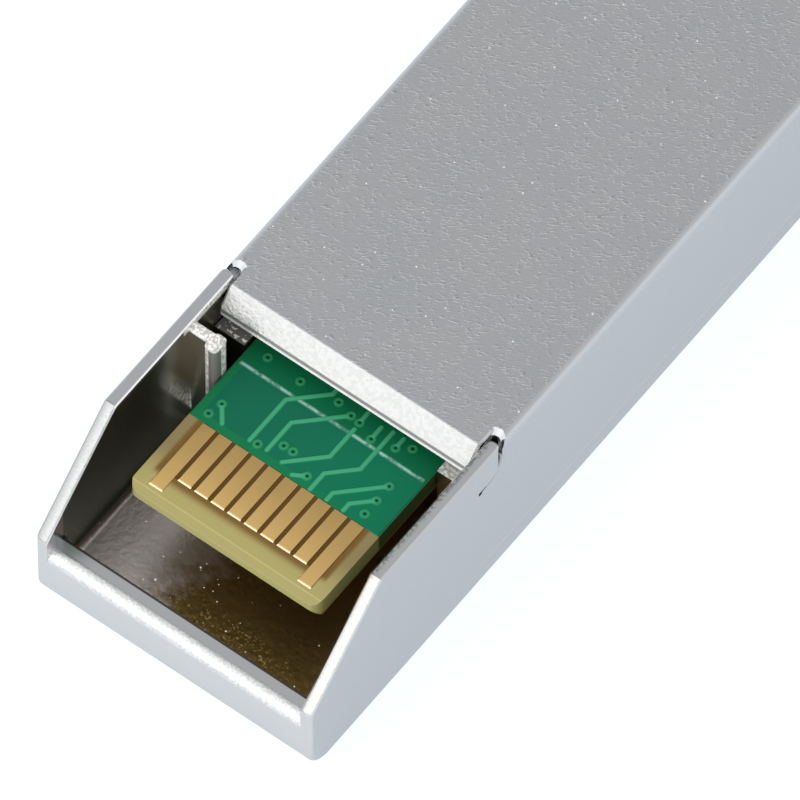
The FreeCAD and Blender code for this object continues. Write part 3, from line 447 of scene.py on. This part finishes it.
# Solder mask with the copper under it: a green film that follows the tracks and via rings of the board.
# The film is cured on the etched board, so each track is a low ridge in it and each via a ringed dimple.
# A pale line is printed across it.
MASK_STEP = 0.03 * MM
MASK_FILM = 0.02 * MM
MASK_TUCK = 0.01 * MM
MASK_MARGIN = 0.02 * MM
MASK_BACK_Y = PAD_BACK_Y + 5.3 * MM
COPPER = 0.035 * MM
TRACK_WIDTH = 0.18 * MM
TRACK_EDGE = 0.05 * MM
VIA_RADIUS = 0.2 * MM
VIA_HOLE = 0.075 * MM
PRINT_WIDTH = 0.12 * MM
PRINT_HALF = 4.45 * MM
PRINT_Y = PAD_BACK_Y + 3.04 * MM
PRINT_WEAR = 0.3 * MM
POUR_INSET = 0.35 * MM
POUR_EDGE = 0.06 * MM
PITCH = 0.8 * MM
FILM_GREEN = (0.006, 0.165, 0.06, 1.0)
POUR_TEAL = (0.006, 0.13, 0.07, 1.0)
RIGHT_GREEN = (0.004, 0.155, 0.074, 1.0)
RIGHT_X = (-2.0 * MM, 4.0 * MM)
INNER_GREEN = (0.004, 0.13, 0.052, 1.0)
RING_GREEN = (0.045, 0.36, 0.14, 1.0)
TRACK_GREEN = (0.05, 0.33, 0.16, 1.0)
PRINT_PALE = (0.3, 0.54, 0.46, 1.0)
HOLE_SHADE = (0.002, 0.04, 0.02, 1.0)
FILM_GRAIN = 0.25 * MM


def pad_x(number):
    """The middle of a contact, counted from the left, from 0."""
    return (number - 4.5) * PITCH


# Each track: its contact, where it starts behind the contacts, how far back it runs straight, how far
# it then slants sideways, and how far it goes straight on from there, in millimetres.
TRACKS = [
    (2, 0.45, 2.75, 1.3, 0.3),
    (3, 0.5, 2.05, 1.65, 0.0),
    (4, 0.42, 0.42, 1.32, 1.55),
    (6, 0.1, 1.0, 1.0, 2.1),
    (7, 0.12, 0.5, 1.55, 0.0),
    (8, 0.12, 0.5, 0.75, 0.0),
]
# Ends of short runs, and middles of vias: sideways, and back from the contacts, in millimetres.
SHORT_RUNS = [
    ((-3.85, 1.1), (-3.3, 0.4)),
    ((0.75, 0.5), (0.25, 0.2)),
    ((0.9, 4.2), (0.9, 3.65)),
    ((1.7, 4.0), (1.7, 3.33)),
    ((2.7, 4.1), (2.7, 3.58)),
]
VIAS = [
    (-3.85, 1.1), (-4.0, 0.45), (-3.72, 3.85), (-2.05, 3.75), (-0.3, 3.9), (0.45, 3.7),
    (0.9, 3.65), (1.7, 3.33), (2.7, 3.58), (3.25, 3.95), (-1.65, 0.5), (-0.8, 1.05),
    (-0.35, 1.05), (0.75, 0.5), (3.55, 2.05), (3.55, 1.25), (3.55, 0.5),
]


def on_board(across, back):
    """A point of the board's layout in metres, from millimetres sideways and back from the contacts."""
    return across * MM, PAD_BACK_Y + back * MM


def track_corners(contact, start, straight, slant, further):
    """A track's corners: straight back from its contact, slanting outwards at 45 degrees, straight on."""
    across = pad_x(contact) / MM
    turned = straight + slant
    return [on_board(across, start), on_board(across, straight),
            on_board(across + slant, turned), on_board(across + slant, turned + further)]


def run_distance(x, y, start, end):
    """Distance of each grid point from a straight run: to the nearest point between its two ends."""
    dx, dy = end[0] - start[0], end[1] - start[1]
    length = max(dx * dx + dy * dy, 1e-18)
    along = np.clip(((x - start[0]) * dx + (y - start[1]) * dy) / length, 0, 1)
    return np.hypot(x - start[0] - along * dx, y - start[1] - along * dy)


def step_down(distance, edge, blur):
    """1 inside an edge and 0 outside it, with a smooth shoulder of the blur's width between."""
    t = np.clip((edge + blur / 2 - distance) / blur, 0, 1)
    return t * t * (3 - 2 * t)


def grid_faces(rows, columns):
    """Quads of a grid whose points run along the columns first."""
    first = (np.arange(rows - 1)[:, None] * columns + np.arange(columns - 1)[None, :]).ravel()
    return np.stack([first, first + 1, first + columns + 1, first + columns], axis=1)


def grid_rim(rows, columns):
    """One face over a grid's border, turned to face away from the grid's own faces."""
    border = np.concatenate([np.arange(columns), np.arange(1, rows) * columns + columns - 1,
                             (rows - 1) * columns + np.arange(columns - 2, -1, -1),
                             np.arange(rows - 2, 0, -1) * columns])
    return border[::-1]


def new_piece(name, points, faces, material, smooth=True):
    """An object at the origin from an array of points and a list of faces."""
    mesh = bpy.data.meshes.new(name)
    mesh.from_pydata(points.tolist(), [], [list(map(int, face)) for face in faces])
    mesh.polygons.foreach_set("use_smooth", np.full(len(mesh.polygons), smooth))
    mesh.materials.append(material)
    piece = bpy.data.objects.new(name, mesh)
    bpy.context.scene.collection.objects.link(piece)
    return piece


def mask_sheet():
    """Height over the board: film, plus copper times a step at half a track's width from each run, plus
    a ring of copper round each via, less the film inside its hole. The border turns down to the board."""
    x = np.arange(-TONGUE_HALF + MASK_MARGIN, TONGUE_HALF - MASK_MARGIN / 2, MASK_STEP)
    y = np.arange(PAD_BACK_Y, MASK_BACK_Y, MASK_STEP)
    gx, gy = np.meshgrid(x, y)
    track = np.zeros_like(gx)
    lines = [track_corners(*row) for row in TRACKS]
    lines += [[on_board(*end) for end in run] for run in SHORT_RUNS]
    for corners in lines:
        for start, end in zip(corners, corners[1:]):
            away = run_distance(gx, gy, start, end)
            track = np.maximum(track, step_down(away, TRACK_WIDTH / 2, TRACK_EDGE))
    ring = np.zeros_like(gx)
    hole = np.zeros_like(gx)
    for via_x, via_y in (on_board(*middle) for middle in VIAS):
        away = np.hypot(gx - via_x, gy - via_y)
        ring = np.maximum(ring, step_down(away, VIA_RADIUS, TRACK_EDGE))
        hole = np.maximum(hole, step_down(away, VIA_HOLE, TRACK_EDGE))
    clear = 1 - step_down(1 - np.maximum(track, ring), 0.9, 0.1)
    printed = step_down(np.abs(gy - PRINT_Y), PRINT_WIDTH / 2, 2 * TRACK_EDGE) * (np.abs(gx) < PRINT_HALF)
    pour = step_down(np.abs(gx), TONGUE_HALF - POUR_INSET, POUR_EDGE)
    pour = pour * step_down(PAD_BACK_Y + POUR_INSET - gy, 0.0, POUR_EDGE)
    height = MASK_FILM + COPPER * np.maximum(track, 0.8 * ring) - (MASK_FILM + 0.5 * COPPER) * hole
    border = np.zeros_like(gx, bool)
    border[[0, -1], :] = True
    border[:, [0, -1]] = True
    gz = BOARD_TOP + np.where(border, -MASK_TUCK, height)
    points = np.stack([gx, gy, gz], axis=-1).reshape(-1, 3)
    faces = list(grid_faces(*gx.shape)) + [grid_rim(*gx.shape)]
    marks = {"track": track, "ring": ring, "hole": hole, "print": printed * clear, "pour": pour}
    return points, faces, marks


def solder_mask():
    """Green film: teal over the copper pour, pale over rings and tracks, darker past the printed line, with
    painted shade in the via holes.
    """
    material = new_finish("solder_mask", Roughness=0.45, Specular_IOR_Level=0.08)
    place = place_of(material)
    x, y, _ = split(place)
    mark = {name: add(material.node_tree, "Attribute", attribute_name=name).outputs["Fac"]
            for name in ("pour", "ring", "track", "print", "hole")}
    inward = ramp(y, PRINT_Y - 0.5 * BLUR, PRINT_Y + BLUR)
    shown = ramp(noise(place, PRINT_WEAR), 0.35, 0.6, 0.25, 1.0)
    tone = layered(mixed(mark["pour"], FILM_GREEN, POUR_TEAL),
                   (ramp(x, *RIGHT_X), RIGHT_GREEN), (inward, INNER_GREEN),
                   (both(mark["ring"], 0.5), RING_GREEN), (mark["track"], TRACK_GREEN),
                   (both(mark["print"], shown), PRINT_PALE), (mark["hole"], HOLE_SHADE))
    drive(material, "Base Color", tone)
    drive(material, "Normal", bumped(noise(place, FILM_GRAIN), 0.01 * BLUR))
    return material


mask_points, mask_faces, mask_marks = mask_sheet()
mask = new_piece("solder_mask", mask_points, mask_faces, solder_mask())
for mark_name, mark_values in mask_marks.items():
    layer = mask.data.attributes.new(mark_name, "FLOAT", "POINT")
    layer.data.foreach_set("value", mark_values.ravel().astype(np.float32))
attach(mask, "module")

# Contact pads: ten strips on each face of the board's tongue, the outer two longer.
# They are copper plated with hard gold and ground at the front, so each end has a rounded edge, painted
# with a highlight.
# They stand for the plain contact strips of the model.
PAD_COUNT = 10
PAD_WIDTH = 0.64 * MM
PAD_RADIUS = 0.04 * MM
PAD_BEVEL = 0.09 * MM
PAD_RISE = PAD_HIGH.z - PAD_LOW.z
PAD_SINK = 0.2 * PAD_RISE
ARC_STEPS = 5
GOLD_DARK = (0.54, 0.35, 0.125, 1.0)
GOLD_LIGHT = (0.58, 0.385, 0.145, 1.0)
GOLD_PATCH = 0.8 * MM
GOLD_HIGHLIGHT = (0.85, 0.67, 0.47, 1.0)
SCRATCH_STRETCH = (1.0, 0.08, 1.0)
SCRATCH_WIDTH = 0.06 * MM
SCRATCH_GRAIN = 0.05 * MM


def pad_strip(x, front, face_z, side):
    """A pad: a square grid of parameters in which the outer rings climb a quarter circle from the board
    to the top face, and a straight bevel at the front end."""
    turn = np.linspace(0, math.pi / 2, ARC_STEPS)
    inset = np.append(0.0, 1 - np.cos(turn))
    climb = np.append(-PAD_SINK, PAD_RISE * np.sin(turn))
    across = np.concatenate([PAD_RADIUS * inset, PAD_WIDTH - PAD_RADIUS * inset[::-1]])
    ground = PAD_BEVEL * np.append(0.0, np.sin(turn))
    along = np.concatenate([ground, PAD_BACK_Y - front - PAD_RADIUS * inset[::-1]])
    up = np.concatenate([climb, climb[::-1]])
    u, v = np.meshgrid(across, along)
    rise = np.minimum(*np.meshgrid(up, up))
    points = np.stack([x - PAD_WIDTH / 2 + u, front + v, face_z + side * rise], axis=-1).reshape(-1, 3)
    faces = list(grid_faces(*u.shape)) + [grid_rim(*u.shape)]
    return points, faces if side > 0 else [face[::-1] for face in faces]


def gold():
    """Hard gold: tan satin with faint scratches along the pads, and a painted highlight on the bevelled
    front ends.
    """
    material = new_finish("contact_gold", Metallic=1.0)
    place = place_of(material)
    x, y, _ = split(place)
    stretched = {"Vector": place, "Scale": SCRATCH_STRETCH}
    combed = add(material.node_tree, "Mapping", stretched).outputs["Vector"]
    outer = calc("GREATER_THAN", calc("ABSOLUTE", x), pad_x(PAD_COUNT - 2) + PITCH / 2)
    front = calc("SUBTRACT", SHORT_FRONT_Y, both(outer, SHORT_FRONT_Y - LONG_FRONT_Y))
    on_bevel = ramp(calc("SUBTRACT", y, front), 0.8 * PAD_BEVEL, 0.4 * PAD_BEVEL)
    tint = mixed(noise(place, GOLD_PATCH), GOLD_DARK, GOLD_LIGHT)
    drive(material, "Base Color", mixed(on_bevel, tint, GOLD_HIGHLIGHT))
    drive(material, "Roughness", ramp(noise(combed, SCRATCH_WIDTH), 0.3, 0.7, 0.3, 0.36))
    drive(material, "Normal", bumped(noise(combed, SCRATCH_GRAIN), 0.004 * BLUR))
    return material


gold_finish = gold()
for node, face_z, side in (("contact_fingers_upper", BOARD_TOP, 1),
                           ("contact_fingers_lower", BOARD_LOW.z, -1)):
    pad_points, pad_faces = [], []
    for number in range(PAD_COUNT):
        front = LONG_FRONT_Y if number in (0, PAD_COUNT - 1) else SHORT_FRONT_Y
        strip, faces = pad_strip(pad_x(number), front, face_z, side)
        pad_faces += [face + len(strip) * number for face in faces]
        pad_points.append(strip)
    pads = new_piece(node.replace("contact_fingers", "contact_pads"), np.concatenate(pad_points),
                     pad_faces, gold_finish)
    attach(pads, "module")
    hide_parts(node)

# Chips and small passives: moulded epoxy packages and tan ceramic bodies, soldered to the board.
# A soft grey pad carries the two lower chips' heat into the casting's pedestal.
EPOXY_DARK = (0.012, 0.012, 0.013, 1.0)
EPOXY_LIGHT = (0.022, 0.022, 0.024, 1.0)
EPOXY_PATCH = 0.4 * MM
PAD_GREY = (0.2, 0.24, 0.3, 1.0)
PAD_PALE = (0.27, 0.31, 0.38, 1.0)
TAN_DARK = (0.2, 0.14, 0.08, 1.0)
TAN_LIGHT = (0.3, 0.21, 0.12, 1.0)
BUMP_GRAIN = 0.15 * MM


def plain_finish(name, dark, light, patch, roughness, depth, metallic=0.0):
    """One colour that wanders between two shades in soft patches, with a fine bump."""
    material = new_finish(name, Metallic=metallic, Roughness=roughness)
    place = place_of(material)
    drive(material, "Base Color", mixed(noise(place, patch, 3.0), dark, light))
    drive(material, "Normal", bumped(noise(place, BUMP_GRAIN, 3.0), depth))
    return material


epoxy = plain_finish("chip_black", EPOXY_DARK, EPOXY_LIGHT, EPOXY_PATCH, 0.5, 0.06 * BLUR)
for node in ("driver_chip", "receiver_chip", "controller_chip"):
    dress(node, epoxy)
dress("thermal_pad", plain_finish("pad_grey", PAD_GREY, PAD_PALE, 10 * BLUR, 0.7, 0.1 * BLUR))
dress("passives", plain_finish("passive_tan", TAN_DARK, TAN_LIGHT, 4 * BLUR, 0.5, 0.04 * BLUR))

# Optical sub-assemblies: turned steel barrels with ceramic sleeves, gold cans and amber film circuits.
# The barrels sit in the casting's cradle, and the films are soldered to the board.
STEEL_DARK = (0.46, 0.46, 0.47, 1.0)
STEEL_LIGHT = (0.56, 0.56, 0.57, 1.0)
RING_STRETCH = (0.02, 1.0, 0.02)
RING_PITCH = 0.05 * MM
CERAMIC_DARK = (0.78, 0.76, 0.7, 1.0)
CERAMIC_LIGHT = (0.86, 0.84, 0.79, 1.0)
CAN_DARK = (0.6, 0.4, 0.14, 1.0)
CAN_LIGHT = (0.7, 0.5, 0.2, 1.0)
AMBER_DARK = (0.3, 0.11, 0.012, 1.0)
AMBER_LIGHT = (0.4, 0.17, 0.02, 1.0)


def turned_steel():
    """Fine turned steel: noise drawn out across the barrels' axes into rings of tool marks."""
    material = new_finish("turned_steel", Metallic=1.0, Roughness=0.28)
    stretched = {"Vector": place_of(material), "Scale": RING_STRETCH}
    marks = noise(add(material.node_tree, "Mapping", stretched).outputs["Vector"], RING_PITCH)
    drive(material, "Base Color", mixed(marks, STEEL_DARK, STEEL_LIGHT))
    drive(material, "Normal", bumped(marks, 0.02 * BLUR))
    return material


steel = turned_steel()
ceramic = plain_finish("white_ceramic", CERAMIC_DARK, CERAMIC_LIGHT, 10 * BLUR, 0.25, 0.01 * BLUR)
can_gold = plain_finish("can_gold", CAN_DARK, CAN_LIGHT, 8 * BLUR, 0.3, 0.02 * BLUR, metallic=1.0)
film = plain_finish("flex_amber", AMBER_DARK, AMBER_LIGHT, 8 * BLUR, 0.3, 0.03 * BLUR)
for channel in ("transmit", "receive"):
    dress(channel + "_barrel", steel)
    dress(channel + "_sleeve", ceramic)
    dress(channel + "_can", can_gold)
    dress(channel + "_flex", film)

# Optics clamp: a dark glass-filled moulding that lies over both barrels and holds them down.
# One turned steel screw between the barrels draws it tight on the casting.
CLAMP_DARK = (0.03, 0.03, 0.033, 1.0)
CLAMP_LIGHT = (0.045, 0.045, 0.05, 1.0)
dress("optics_clamp", plain_finish("clamp_plastic", CLAMP_DARK, CLAMP_LIGHT, 5 * BLUR, 0.55, 0.08 * BLUR))
dress("clamp_screw", steel)

# Cover: one folded sheet of steel under satin nickel, with a bent rear lip, that closes the module.
# Its rolled top shows an orange-peel grain and stray glints; the sides are drawn smooth, the lip is grainy.
# It stands on the casting's ledges.
COVER_LOW, COVER_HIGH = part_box("cover")
LIP_BACK_Y = COVER_LOW.y + 0.95 * MM
LIP_SHADE_Z = 7.6 * MM
SIDE_NICKEL = (0.488, 0.496, 0.51, 1.0)
CLOUD_COOL = (0.455, 0.47, 0.495, 1.0)
CLOUD_WARM = (0.495, 0.494, 0.492, 1.0)
CLOUD_SIZE = 3.0 * MM
LIP_GREY = (0.515, 0.515, 0.505, 1.0)
LIP_WHITE = (0.565, 0.565, 0.555, 1.0)
LIP_FOOT_SHADE = (0.16, 0.17, 0.16, 1.0)
LIP_PATCH = 0.2 * MM
LIP_GRAIN = 0.16 * MM
PEEL_SHADE = (0.36, 0.365, 0.375, 1.0)
PEEL_TURN = (0.0, 0.0, math.radians(37))
PEEL_STRETCH = (2.4, 1.0, 1.0)
PEEL_SIZE = 0.1 * MM
PEEL_PATCH = 0.35 * MM
PLATE_GLINTS = (0.42 * MM, 0.05 * MM, 0.22)


def sheet_nickel():
    """Satin nickel on rolled sheet. On the top plate, the peaks of a stretched and turned noise are the
    peel, bumped and darkened by painted shade, and specks are glints; the lip has a coarse bump, and a
    painted shade line near its foot."""
    material = new_finish("sheet_nickel", Specular_Tint=EDGE_TINT)
    place = place_of(material)
    x, y, z = split(place)
    on_top = ramp(z, COVER_HIGH.z - 0.5 * BLUR, COVER_HIGH.z - 0.05 * BLUR)
    off_side = ramp(calc("ABSOLUTE", x), COVER_HIGH.x - 3 * BLUR, COVER_HIGH.x - 7 * BLUR)
    on_lip = both(ramp(y, LIP_BACK_Y, LIP_BACK_Y - BLUR), off_side)
    lip_foot_shade = both(near(z, LIP_SHADE_Z, 0.3 * BLUR, 0.7 * BLUR), on_lip)
    lip_tone = mixed(ramp(noise(place, LIP_PATCH, 3.0), 0.4, 0.6), LIP_GREY, LIP_WHITE)
    glint = both(specks(place, *PLATE_GLINTS), on_top, 0.7)
    turned = {"Vector": place, "Rotation": PEEL_TURN, "Scale": PEEL_STRETCH}
    rolled = add(material.node_tree, "Mapping", turned, vector_type="TEXTURE").outputs["Vector"]
    patchy = ramp(noise(place, PEEL_PATCH), 0.42, 0.62, 0.1, 1.0)
    # The peel's peaks are darkened as painted shade on the bumps.
    peel = both(ramp(noise(rolled, PEEL_SIZE, 1.0), 0.48, 0.66), on_top, patchy)
    clouds = mixed(noise(place, CLOUD_SIZE), CLOUD_COOL, CLOUD_WARM)
    tone = layered(mixed(on_top, SIDE_NICKEL, clouds), (on_lip, lip_tone), (lip_foot_shade, LIP_FOOT_SHADE),
                   (both(peel, 0.6), PEEL_SHADE), (glint, GLINT_WHITE))
    drive(material, "Base Color", tone)
    drive(material, "Metallic", calc("SUBTRACT", 1.0, either(glint, both(on_lip, 0.5))))
    drive(material, "Roughness", ramp(on_top, 0.0, 1.0, 0.24, 0.26))
    grain = both(noise(place, LIP_GRAIN), on_lip)
    drive(material, "Normal", bumped(grain, 0.2 * BLUR, bumped(peel, 0.11 * BLUR)))
    return material


sheet_finish = sheet_nickel()
dress("cover", sheet_finish)

# Relief rims: the sheet round the cover's two rear corner reliefs, drawn down by the punch.
# Each is a half ring of the cover's own sheet that slopes from the plate into the opening.
RELIEF_X = 6.28 * MM
RELIEF_Y = -16.47 * MM
RIM_OUTER = 0.47 * MM
RIM_INNER = 0.26 * MM
RIM_PLATE_Z = 8.45 * MM
RIM_EDGE_Z = 8.31 * MM
RIM_UNDER_Z = 8.2 * MM
RIM_PROFILE = np.array([(RIM_OUTER, RIM_PLATE_Z), (RIM_INNER, RIM_EDGE_Z),
                        (RIM_INNER, RIM_UNDER_Z), (RIM_OUTER, RIM_UNDER_Z)])
RIM_TURN = np.radians((185, 40))
RIM_STEPS = 24


def bar_faces(rows, corners, side):
    """Quads round a bar from one section to the next, and a cap on each end, turned over on the left."""
    index = np.arange(rows * corners).reshape(rows, corners)
    turned = np.roll(index, -1, axis=1)
    quads = np.stack([index[:-1], turned[:-1], turned[1:], index[1:]], axis=-1).reshape(-1, 4)
    faces = list(quads) + [index[0][::-1], index[-1]]
    return faces if side > 0 else [face[::-1] for face in faces]


def relief_rim(side):
    """The profile's radius and height, turned about the relief's upright axis from the lip to the bend."""
    turn = np.linspace(*RIM_TURN, RIM_STEPS)[:, None]
    radius, height = RIM_PROFILE.T
    x = RELIEF_X + radius * np.cos(turn)
    y = RELIEF_Y + radius * np.sin(turn)
    return np.stack([side * x, y, np.broadcast_to(height, x.shape)], axis=-1).reshape(-1, 3)


for side_name, side in (("left", -1), ("right", 1)):
    rim_faces = bar_faces(RIM_STEPS, len(RIM_PROFILE), side)
    rim = new_piece("relief_rim_" + side_name, relief_rim(side), rim_faces, sheet_finish, smooth=False)
    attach(rim, "module")

# Seam fillets: the plating that bridges the joint between the base's tongue and the cover on each side,
# from below the relief round the tongue's corner almost to the relief hole.
SEAM_RECESS = 0.008 * MM
SEAM_DEPTH = 0.1 * MM
SEAM_HALF = 0.055 * MM
SEAM_RADIUS = 0.89 * MM
SEAM_CORNER_Y = -17.4 * MM
SEAM_CORNER_Z = 7.55 * MM
SEAM_TOP_Z = 7.75 * MM
SEAM_END_Y = -17.5 * MM
SEAM_STEPS = 20


def seam_fillet(side):
    """A flat bar along the seam's middle line: down, round a quarter circle, and back, at one width."""
    turn = np.linspace(0, -math.pi / 2, SEAM_STEPS)
    angle = np.concatenate([turn[:1], turn, turn[-1:]])
    y = SEAM_CORNER_Y + SEAM_RADIUS * np.cos(angle)
    z = SEAM_CORNER_Z + SEAM_RADIUS * np.sin(angle)
    y[-1] = SEAM_END_Y
    z[0] = SEAM_TOP_Z
    out_y, out_z = SEAM_HALF * np.cos(angle), SEAM_HALF * np.sin(angle)
    outer = np.full_like(y, COVER_HIGH.x - SEAM_RECESS)
    inner = outer - SEAM_DEPTH
    edges = [np.stack([side * x, y + sign * out_y, z + sign * out_z], axis=-1)
             for x, sign in ((outer, 1), (outer, -1), (inner, -1), (inner, 1))]
    return np.stack(edges, axis=1).reshape(-1, 3)


for side_name, side in (("left", -1), ("right", 1)):
    seam_faces = bar_faces(SEAM_STEPS + 2, 4, side)
    fillet = new_piece("seam_fillet_" + side_name, seam_fillet(side), seam_faces, sheet_finish,
                       smooth=False)
    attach(fillet, "module")

# Nose: the receptacle for the two fibre plugs, a zinc die casting under the same satin nickel as the base.
# It is cast in one piece with both sockets, and its spigot sits in the base's front end.
dress("fibre_receptacle", plain_finish("nose_nickel", NICKEL_DARK, NICKEL_LIGHT, NICKEL_PATCH, NICKEL_SATIN,
                                       0.01 * BLUR, metallic=1.0))

# Spring collar and latch: thin stamped spring steel round the nose's neck, the rocker with its latch boss,
# the pivot pin it turns on and the leaf spring below it.
SPRING_DARK = (0.5, 0.49, 0.46, 1.0)
SPRING_LIGHT = (0.6, 0.59, 0.56, 1.0)
stamped = plain_finish("spring_steel", SPRING_DARK, SPRING_LIGHT, 8 * BLUR, 0.25, 0.03 * BLUR, metallic=1.0)
for node in ("spring_collar", "latch_rocker", "latch_spring"):
    dress(node, stamped)
dress("latch_pin", steel)

# Bail: the drawn steel wire that pulls the module out, bent round the nose and hung in its two bores.
# A black nylon sleeve is moulded on its cross bar.
WIRE_DARK = (0.5, 0.5, 0.51, 1.0)
WIRE_LIGHT = (0.58, 0.58, 0.59, 1.0)
dress("bail", plain_finish("bail_wire", WIRE_DARK, WIRE_LIGHT, 5 * BLUR, 0.22, 0.02 * BLUR, metallic=1.0))
dress("bail_sleeve", plain_finish("sleeve_black", EPOXY_DARK, EPOXY_LIGHT, 6 * BLUR, 0.42, 0.08 * BLUR))

# Studio: a pale floor, lit through from below like a light table, under a soft white surround that is
# brightest low in front and grey high behind.
FLOOR_HALF = 4.0
FLOOR_DARK = (0.35, 0.36, 0.37, 1.0)
FLOOR_LIGHT = (0.37, 0.38, 0.39, 1.0)
FLOOR_PATCH = 40 * MM
FLOOR_GLOW = (0.66, 0.72, 0.78, 1.0)
FRONT_GLOW = (0.9, 0.93, 0.96, 1.0)
FRONT_BLUR = 1.0 * MM
SKY_WHITE = (0.98, 0.99, 1.0, 1.0)
SKY_BASE = 0.61
FRONT_BANK = (-0.33, -0.85, 0.42)
FRONT_LAMP = (-0.315, -0.72, 0.62)


def pale_floor():
    """Matt translucent white that glows, stronger in front of the module."""
    material = new_finish("pale_floor", Roughness=0.9, Specular_IOR_Level=0.1, Emission_Strength=1.0)
    place = place_of(material)
    in_front = ramp(split(place)[1], REAR_FACE_Y + FRONT_BLUR, REAR_FACE_Y - FRONT_BLUR)
    drive(material, "Emission Color", mixed(in_front, FLOOR_GLOW, FRONT_GLOW))
    drive(material, "Base Color", mixed(noise(place, FLOOR_PATCH), FLOOR_DARK, FLOOR_LIGHT))
    return material


floor_x, floor_y = np.meshgrid([-FLOOR_HALF, FLOOR_HALF], [-FLOOR_HALF, FLOOR_HALF])
floor_points = np.stack([floor_x, floor_y, np.zeros_like(floor_x)], axis=-1).reshape(-1, 3)
floor = new_piece("floor", floor_points, grid_faces(2, 2), pale_floor(), smooth=False)

world = bpy.data.worlds.new("studio")
bpy.context.scene.world = world
world.use_nodes = True
sky = world.node_tree
direction = add(sky, "TexCoord").outputs["Generated"]


def glow_towards(aim, low, high, strength):
    """A soft light of the surround: it grows as the direction comes nearer to the aim."""
    nearness = add(sky, "VectorMath", {0: direction, 1: aim}, operation="DOT_PRODUCT").outputs["Value"]
    return ramp(nearness, low, high, 0.0, strength)


sideways, _, upwards = split(direction)
glows = [glow_towards(FRONT_BANK, -0.1, 0.85, 0.95), ramp(upwards, 0.75, 0.0, 0.0, 0.4),
         ramp(sideways, -0.3, 0.5, 0.0, 0.25), glow_towards(FRONT_LAMP, 0.9, 0.99, 0.45), SKY_BASE]
backdrop = sky.nodes["Background"]
backdrop.inputs["Color"].default_value = SKY_WHITE
sky.links.new(reduce(lambda first, second: calc("ADD", first, second), glows), backdrop.inputs["Strength"])

# Camera: above the connector end, to the right of it.
# It stands far off with a long lens, so that parallel edges stay nearly parallel.
VIEW_AZIMUTH = math.radians(37.27)
VIEW_ELEVATION = math.radians(58.68)
VIEW_DISTANCE = 900 * MM
VIEW_TARGET = Vector((0.67 * MM, -15.04 * MM, 3.88 * MM))
VIEW_WIDTH = 30.98 * MM
SENSOR_WIDTH = 36.0
CLIP_END = 20.0
camera_data = bpy.data.cameras.new("camera")
camera_data.sensor_width = SENSOR_WIDTH
camera_data.lens = SENSOR_WIDTH * VIEW_DISTANCE / VIEW_WIDTH
camera_data.clip_end = CLIP_END
towards_camera = Vector((math.sin(VIEW_AZIMUTH) * math.cos(VIEW_ELEVATION),
                         -math.cos(VIEW_AZIMUTH) * math.cos(VIEW_ELEVATION), math.sin(VIEW_ELEVATION)))
camera = bpy.data.objects.new("camera", camera_data)
camera.location = VIEW_TARGET + towards_camera * VIEW_DISTANCE
camera.rotation_mode = "QUATERNION"
camera.rotation_quaternion = (-towards_camera).to_track_quat("-Z", "Y")
bpy.context.scene.collection.objects.link(camera)
bpy.context.scene.camera = camera
bpy.context.scene.view_settings.view_transform = "Standard"
